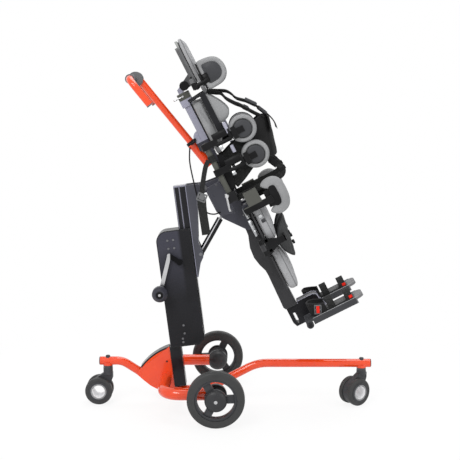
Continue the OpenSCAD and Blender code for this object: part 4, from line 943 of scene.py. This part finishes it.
def knee_cups():
    """Leaf-shaped knee pads with piping and small buckles, on arms that swing on the leg beam."""
    radius, s_mid, lean = 39.5, -278, 0.16
    edge = oval(62, 76, 1.12)
    flat = quilted(remeshed(front_pad(edge, dome(13, 0.4)), 3.5), (-22, 22), 0.5, 1.8, 24)
    for name, side in SIDES.items():
        body, node, y = f"knee_{name}", f"knee_cup_{name}", side * 80

        def leaning(shape):
            points, faces = bend_round(shape, (158, y, s_mid), radius)
            points[:, 0] += (points[:, 2] - s_mid) * lean - 3
            return points, faces

        make(f"knee_pad_{name}", leaning(flat), DARK_CLOTH, body, node, sharp=80)
        rim = leaning((front_ring(edge, 1.0, 1.0), []))[0]
        make(f"knee_piping_{name}", rope(rim, 2.4), DARK_PIPING, body, node)
        clips = [brick((196, y - 13, s - 6), (205, y + 13, s + 6), 1.8) for s in (-244, -272, -310)]
        make(f"knee_buckles_{name}", clips, BLACK_PLASTIC, body, node)
        inner, outer = side * 162, side * 168
        rings = []
        for n, k in ((113.5, 1.0), (126, 1.0), (140, 0.8), (156, 0.5), (185, 0.44)):
            low, high = -270 - 24 * k, -270 + 24 * k
            rings.append([(n, inner, low), (n, outer, low), (n, outer, high), (n, inner, high)])
        arm = [loft(rings),
               brick((99, inner, -299), (125, outer, -282.8), 1.2),
               brick((99, inner, -257.2), (125, outer, -241), 1.2),
               brick((179, side * 121, -282), (185, outer, -258), 1.2)]
        for low, high in ((-299, -282.6), (-257.4, -241)):
            eye = [(4.1, low), (9, low), (9, high), (4.1, high)]
            arm.append(turned(eye, (99, side * 165, 0), "s", 32, ring=True))
        make(f"knee_arm_{name}", arm, BLACK_PLASTIC, body, node, sharp=30)


# Harness
def on_vest(shape):
    """Bends a flat shape round the chest, and leans it from the panel's top."""
    points, faces = bend_round(shape, (0, 0, -73.5), 95.5)
    lean = math.radians(14)
    c, s = math.cos(lean), math.sin(lean)
    x, y, z = points.T
    return np.stack([230 + x * c + z * s, y, 157 - x * s + z * c], 1), faces


def chest_harness():
    edge = oval(116, 73, 0.42, 120)
    edge[:, 1] -= 16 * np.exp(-(edge[:, 0] / 34) ** 2) * (edge[:, 1] > 0)
    flat = quilted(remeshed(front_pad(edge, dome(9, 0.3)), 4.0), (-62, -18, 18, 62), 0.45, 2.4, 30)
    make("chest_vest", on_vest(flat), BLACK_CLOTH, "support", "chest_panel", sharp=80)
    rim = on_vest((front_ring(edge, 1.0, 0.5), []))[0]
    make("chest_vest_piping", rope(rim, 2.8), DARK_PIPING, "support", "chest_panel")


def shoulder_straps():
    """Webbing from the back over each shoulder to the chest panel and down its sides, with slide buckles."""
    bands = (
        ("shoulder_strap", 52, 32, 0.34, 3,
         [(100.5, 297), (128, 300), (152, 302), (176, 297), (202, 284), (226, 270), (238, 254), (248, 231),
          (268, 212), (288, 194), (306, 158), (317, 130), (316, 116), (310, 90), (305, 70)]),
        ("shoulder_lining", 60, 30, 0.5, 3,
         [(168, 296), (190, 283), (206, 271), (216, 245), (234, 219), (250, 201), (270, 172), (290, 144),
          (303, 128)]),
        ("strap_tail", 46, 24, 0.3, 2.4, [(300, 176), (318, 140), (328, 112), (331, 90), (329, 72)]))
    belts = (("upper", 46, [(247, 89.5, 90), (205, 91.5, 84), (155, 92, 70), (112, 91.5, 54)]),
             ("lower", 38, [(240, 89.5, 30), (195, 91.5, 12), (140, 92, -16), (106, 91.5, -30)]))
    low_route = [(234, 32), (250, 6), (268, -26), (281, -56), (272, -74), (244, -79.5), (190, -79.5),
                 (140, -79), (91, -79)]
    for name, side in SIDES.items():
        for label, y, wide, lean, thick, places in bands:
            across = np.array((0, math.cos(lean), side * math.sin(lean)))
            path = in_plane(places, y * side, 7)
            make_strap(f"{label}_{name}", path, across, wide, thick, "support", "straps")
        across = (0, 0.95, side * 0.3)
        clips = buckle((286, side * 52, 196), (0.62, 0, -0.78), across, 44, 40, 9)
        clips += buckle((310, side * 52, 152), (0.44, 0, -0.9), across, 34, 40, 9)
        clips += buckle((262, side * 54, 186), (0.62, 0, -0.78), (0, 0.9, side * 0.42), 20, 36, 7)
        make(f"shoulder_buckles_{name}", clips, GREY_PLASTIC, "support", "straps")
        low_y = side * 94.7
        path = in_plane(low_route, low_y, 6)
        make_strap(f"lower_strap_{name}", path, edgewise(path), 22, 2.8, "support", "straps")
        for label, wide, places in belts:
            path = smooth_path([(n, side * y, s) for n, y, s in places], 6)
            make_strap(f"side_belt_{label}_{name}", path, edgewise(path), wide, 2.6, "support", "straps")
        clips = buckle((266, low_y, -24), (0.44, 0, -0.9), (0.9, 0, 0.44), 34, 28, 6)
        clips += buckle((281, low_y, -56), (0.1, 0, -0.99), (0.99, 0, 0.1), 16, 26, 6)
        make(f"lower_buckle_{name}", clips, BLACK_PLASTIC, "support", "straps")


def hanging_strap():
    """Spare strap end that hangs from the right side rail with its buckle."""
    y = -132.2
    for name, wide, places in (
            ("upper", 17, [(66, 86), (46, 70), (20, 36), (-2, 4), (-12, -14)]),
            ("lower", 30, [(-14, -18), (-26, -44), (-38, -76), (-52, -118), (-60, -142)])):
        path = in_plane(places, y, 6)
        make_strap(f"spare_strap_{name}", path, edgewise(path), wide, 2.5, "support", "straps")
    loop = turned([(10.4, 72), (13.4, 72), (13.4, 96), (10.4, 96)], (78, -120, 0), "s", 40)
    make("spare_strap_loop", loop, STRAP, "support", "straps", uv=[(p[0] * MM, p[2] * MM) for p in loop[0]])
    clip = buckle((-14, y, -18), (-0.75, 0, -0.66), (0.66, 0, -0.75), 30, 34, 9)
    make("spare_strap_buckle", clip, MID_PLASTIC, "support", "straps")


# Sandals
FOOT_Y, SOLE_S = 110, -573.8


def edge_name(way, side):
    """Which edge of a side's foot lies that way."""
    return "outer" if way == side else "inner"


def sandals():
    heel_n, heel_r, ball_n = 180, 38, 222
    turn = np.radians(np.linspace(62, 298, 49))
    outward = np.stack([np.cos(turn), np.sin(turn)], 1)
    high = 30 + 17 * np.clip(-outward[:, 0] + 0.35, 0, 1.1) / 1.1
    section = ((-3, 0), (-3, 0.9), (-1.4, 1.0), (1.4, 1.0), (3, 0.9), (3, 0))
    wall = np.array([[(heel_n + (heel_r + a) * o[0], (heel_r + a) * o[1], b * h) for a, b in section]
                     for o, h in zip(outward, high)])
    top = np.stack([heel_n + heel_r * outward[:, 0], heel_r * outward[:, 1], high], 1)
    edge = oval(80, 33, 0.6, 72)
    levels = [(0.97, 0.2), (1.0, 1.4), (1.0, 3.2), (0.96, 4.6), (0.5, 5.0), (0.02, 5.0)]
    sole = [np.stack([ball_n + edge[:, 0] * k, edge[:, 1] * k, np.full(len(edge), z)], 1) for k, z in levels]
    lean = np.radians(np.linspace(-93, 93, 41))
    for name, side in SIDES.items():
        body, node = f"foot_{name}", f"sandal_{name}"
        at = np.array((0, side * FOOT_Y, SOLE_S))
        ends = {edge_name(e, side): e for e in (-1, 1)}
        make(f"heel_counter_{name}", loft(wall + at), BLACK_CLOTH, body, node)
        make(f"heel_rim_{name}", rope(top + at, 3.4, (0, 0, 1), closed=False), DARK_PIPING, body, node)
        make(f"insole_{name}", loft(np.array(sole) + at), RUBBER, body, node)
        for tag, e in ends.items():
            clip = buckle(at + (170, 41.5 * e, 19), (0.4, 0, 0.92), (0.92, 0, -0.4), 34, 26, 5)
            make(f"heel_buckle_{tag}_{name}", clip, MID_PLASTIC, body, node)
            tab = np.stack([np.linspace(165, 175, 8), np.full(8, 45.2 * e), np.linspace(8, 31, 8)], 1) + at
            make_strap(f"heel_tab_{tag}_{name}", tab, edgewise(tab), 11, 1.8, body, node, RED_TAB)
        for label, n, rise in (("ankle", 219, 36.6), ("toe", 287, 30)):
            arch = np.stack([np.full(41, n), 36.6 * np.sin(lean), 2.5 + rise * np.cos(lean)], 1) + at
            make_strap(f"{label}_strap_{name}", arch, X, 26, 2.8, body, node)
        for tag, e in ends.items():
            part = np.radians(np.linspace(70, 88, 10)) * e
            tab = np.stack([np.full(10, 293), 38.9 * np.sin(part), 2.5 + 32.3 * np.cos(part)], 1) + at
            make_strap(f"toe_tab_{tag}_{name}", tab, X, 13, 1.6, body, node, RED_TAB)


# Trim and fasteners on the rigid parts
def tilt_plate_trim():
    bolts = [(46, -10), (63, 0), (61, -62), (55, -90), (53, -120), (84, -150)]
    for name, side in SIDES.items():
        heads = [bolt((n, side * 41.1, s), side, 4.2, 2.6) for n, s in bolts]
        make(f"tilt_bolts_{name}", heads, DARK_STEEL, "support")
        face = side * 41.2
        plates = [brick((88, face, -170), (101, side * 45, -128), 1.0),
                  brick((86, face, -240), (101, side * 45, -176), 1.0)]
        for s in (-140, -158, -190, -224):
            plates.append(brick((90, side * 44, s - 7), (98, side * 48, s + 7), 1.2))
        plates.append(brick((88, side * 29.5, -238), (100, side * 42, -226), 1.0))
        make(f"beam_adjuster_{name}", plates, ALUMINIUM, "support")


def crank_knob_trim():
    end = (place_of("crank_knob_spin") - place_of("crank_turn")) / MM
    socket = [(13.5, -102.3), (13.5, -102.9), (12.5, -103.4), (0.5, -103.4)]
    screw = [(4.6, -103.3), (4.6, -105.2), (3.4, -106.2), (0.5, -106.2)]
    for name, look, count, profile in (("knob_socket", BLACK_PLASTIC, 40, socket),
                                       ("knob_bolt", STEEL, 24, screw)):
        make(name, turned(profile, (end.x, 0, end.z), "y", count), look, "crank_knob", matrix=CRANK)


def side_trim():
    cover = np.array([(6, -4), (58, -2), (66, -46), (61, -131), (12, -116), (3, -92)]) - (34, -62)
    cover_steps = [(1.0, 0), (1.0, 1.0), (0.985, 1.5), (0.02, 1.5)]
    wing = np.array([(85, -46), (107, -44), (119, 18), (122, 56), (112, 83), (99, 90), (90, 40)]) - (103, 22)
    wing_steps = [(0.98, -4), (1.0, -3), (1.0, 3), (0.98, 4)]
    pivot = [(7, 135.8), (7, 143), (5.5, 144.5), (0.5, 144.5)]
    bracket = [(109.5, -532), (113.4, -523.2), (174.6, -523.2), (187, -530.4), (190, -553), (206, -603)]
    for name, side in SIDES.items():
        inner, outer = side * 144.2, side * 147
        clip = brick((132, inner, -174), (145, outer, -161), 1.0)
        make(f"thigh_clip_{name}", clip, ALUMINIUM, "support")
        keeper = brick((134, inner, -193), (148, outer, -180), 1.0)
        make(f"thigh_keeper_{name}", keeper, GREY_PLASTIC, "support")
        plate = side_pad(cover, cover_steps, (34, side * 41.05, -62), side)
        make(f"tilt_cover_{name}", plate, HIGHLIT_EDGE_SLATE, "support", sharp=20)
        plate = side_pad(wing, wing_steps, (103, side * 97, 22), side)
        make(f"back_wing_{name}", plate, BLACK_PLASTIC, "support", sharp=20)
        lever = in_plane([(66, -44), (62, -66), (55, -92), (53, -106)], side * 141, 5)
        make(f"rail_lever_{name}", [rope(lever, 4.2, (0, 1, 0), closed=False, count=12),
                                    turned_out(pivot, (66, 0, -54), side, 28)], STEEL, "support")
        # A pale cord along the foot bracket's edge: a painted highlight line.
        path = [(n, side * 23.6, s) for n, s in bracket]
        edge = rope(path, 1.3, (0, 1, 0), closed=False)
        make(f"foot_bracket_edge_{name}", edge, PALE_PAINT, "foot_slide")
        for e in (-1, 1):
            near, far = side * FOOT_Y + e * 47, side * FOOT_Y + e * 50
            sill = brick((140, near, -574.4), (318, far, -572.6), 0.5)
            make(f"footplate_edge_{edge_name(e, side)}_{name}", sill, PALE_PLASTIC, f"foot_{name}")


def clamp_trim():
    lever = [brick((58, -36, 320), (84, -30, 324), 1.0),
             turned([(3.6, -39), (3.6, -29)], (82, 0, 322), "y", 24),
             turned([(2.2, 0), (3.2, 2), (3.2, 12), (2.2, 14)], (46, -33, 322), "n", 20)]
    make("head_clamp_lever", lever, STEEL, "support")
    collar = [(12.7, 15.3), (18.5, 15.3), (18.5, 25), (17, 26.5), (12.7, 26.5)]
    clamp = [turned(collar, ORIGIN, "s", 48), brick((10, -30, 17), (22, -13, 25), 1.6),
             brick((-4, -34, 12), (18, -26, 22), 2.0)]
    make("handle_clamp", clamp, BLACK_PLASTIC, "support", matrix=HANDLE)


def wheel_hubs():
    """Domed covers on the outer side of each wheel and over the inner end of its axle."""
    outer = [(39.2, 302.5), (38.6, 306), (35.5, 311.5), (29, 316), (19, 318.8), (7.5, 319.9), (7, 319.2)]
    screw = [(6, 319.2), (6, 320.6), (5, 321), (3, 321), (2.8, 319.6), (0.5, 319.6)]
    inner = [(37.6, 236), (38.2, 226), (36.5, 214), (31, 203), (22, 195.5), (10, 192), (0.5, 191.4)]
    dot = [(3.4, 20.4), (3.4, 21.6), (2.4, 22.2), (0.5, 22.2)]
    for name, side in SIDES.items():
        axle, wheel = place_of(f"wheel_{name}_spin"), f"wheel_{name}"
        place = Matrix.Translation((axle.x, 0, axle.z)) @ Matrix.Scale(MM, 4)
        fin_hole = (-225.2 - axle.x / MM, 0, 161.5 - axle.z / MM)
        for label, profile, at, count, look, body in (
                ("hub_dome", outer, ORIGIN, 64, HUB_PLASTIC, wheel),
                ("hub_bolt", screw, ORIGIN, 32, STEEL, wheel),
                ("axle_dome", inner, ORIGIN, 64, HUB_PLASTIC, "base"),
                ("fin_screw", dot, fin_hole, 20, BLACK_PLASTIC, "base")):
            make(f"{label}_{name}", turned_out(profile, at, side, count), look, body, matrix=place)


def castor_rings():
    """Pale bearing rings in the castors' open hubs, and a lining in each bore: a pale wall made white as
    painted light for the backdrop seen through the hub.
    """
    rim = [(24.3, 33.6), (29, 33.6), (28.6, 34.3), (26.5, 34.6), (24.6, 34.2)]
    wall = [(23.1, -33.4), (23.9, -33.4), (23.9, 33.4), (23.1, 33.4)]
    for name in ("rear", "front"):
        axle = axis_of(f"castor_{name}_spin")
        turn = Matrix((axle.cross(Z), axle, Z)).transposed().to_4x4()
        place = Matrix.Translation(place_of(f"castor_{name}_spin")) @ turn @ Matrix.Scale(MM, 4)
        rings = [turned([(r, h * e) for r, h in rim], ORIGIN, "y", 64, ring=True) for e in (-1, 1)]
        make(f"castor_rings_{name}", rings, PALE_PLASTIC, f"castor_{name}", matrix=place)
        # White lining: painted light standing in for the backdrop seen through the open hub.
        lining = turned(wall, ORIGIN, "y", 64, ring=True)
        make(f"castor_lining_{name}", lining, BACKDROP_WHITE_PLASTIC, f"castor_{name}", matrix=place)


release_cable()
head_and_back_cushions()
shoulder_cushions()
leg_cushions()
chest_pads()
hip_cushions()
head_side_cushions()
knee_cups()
chest_harness()
shoulder_straps()
hanging_strap()
sandals()
tilt_plate_trim()
crank_knob_trim()
side_trim()
clamp_trim()
wheel_hubs()
castor_rings()
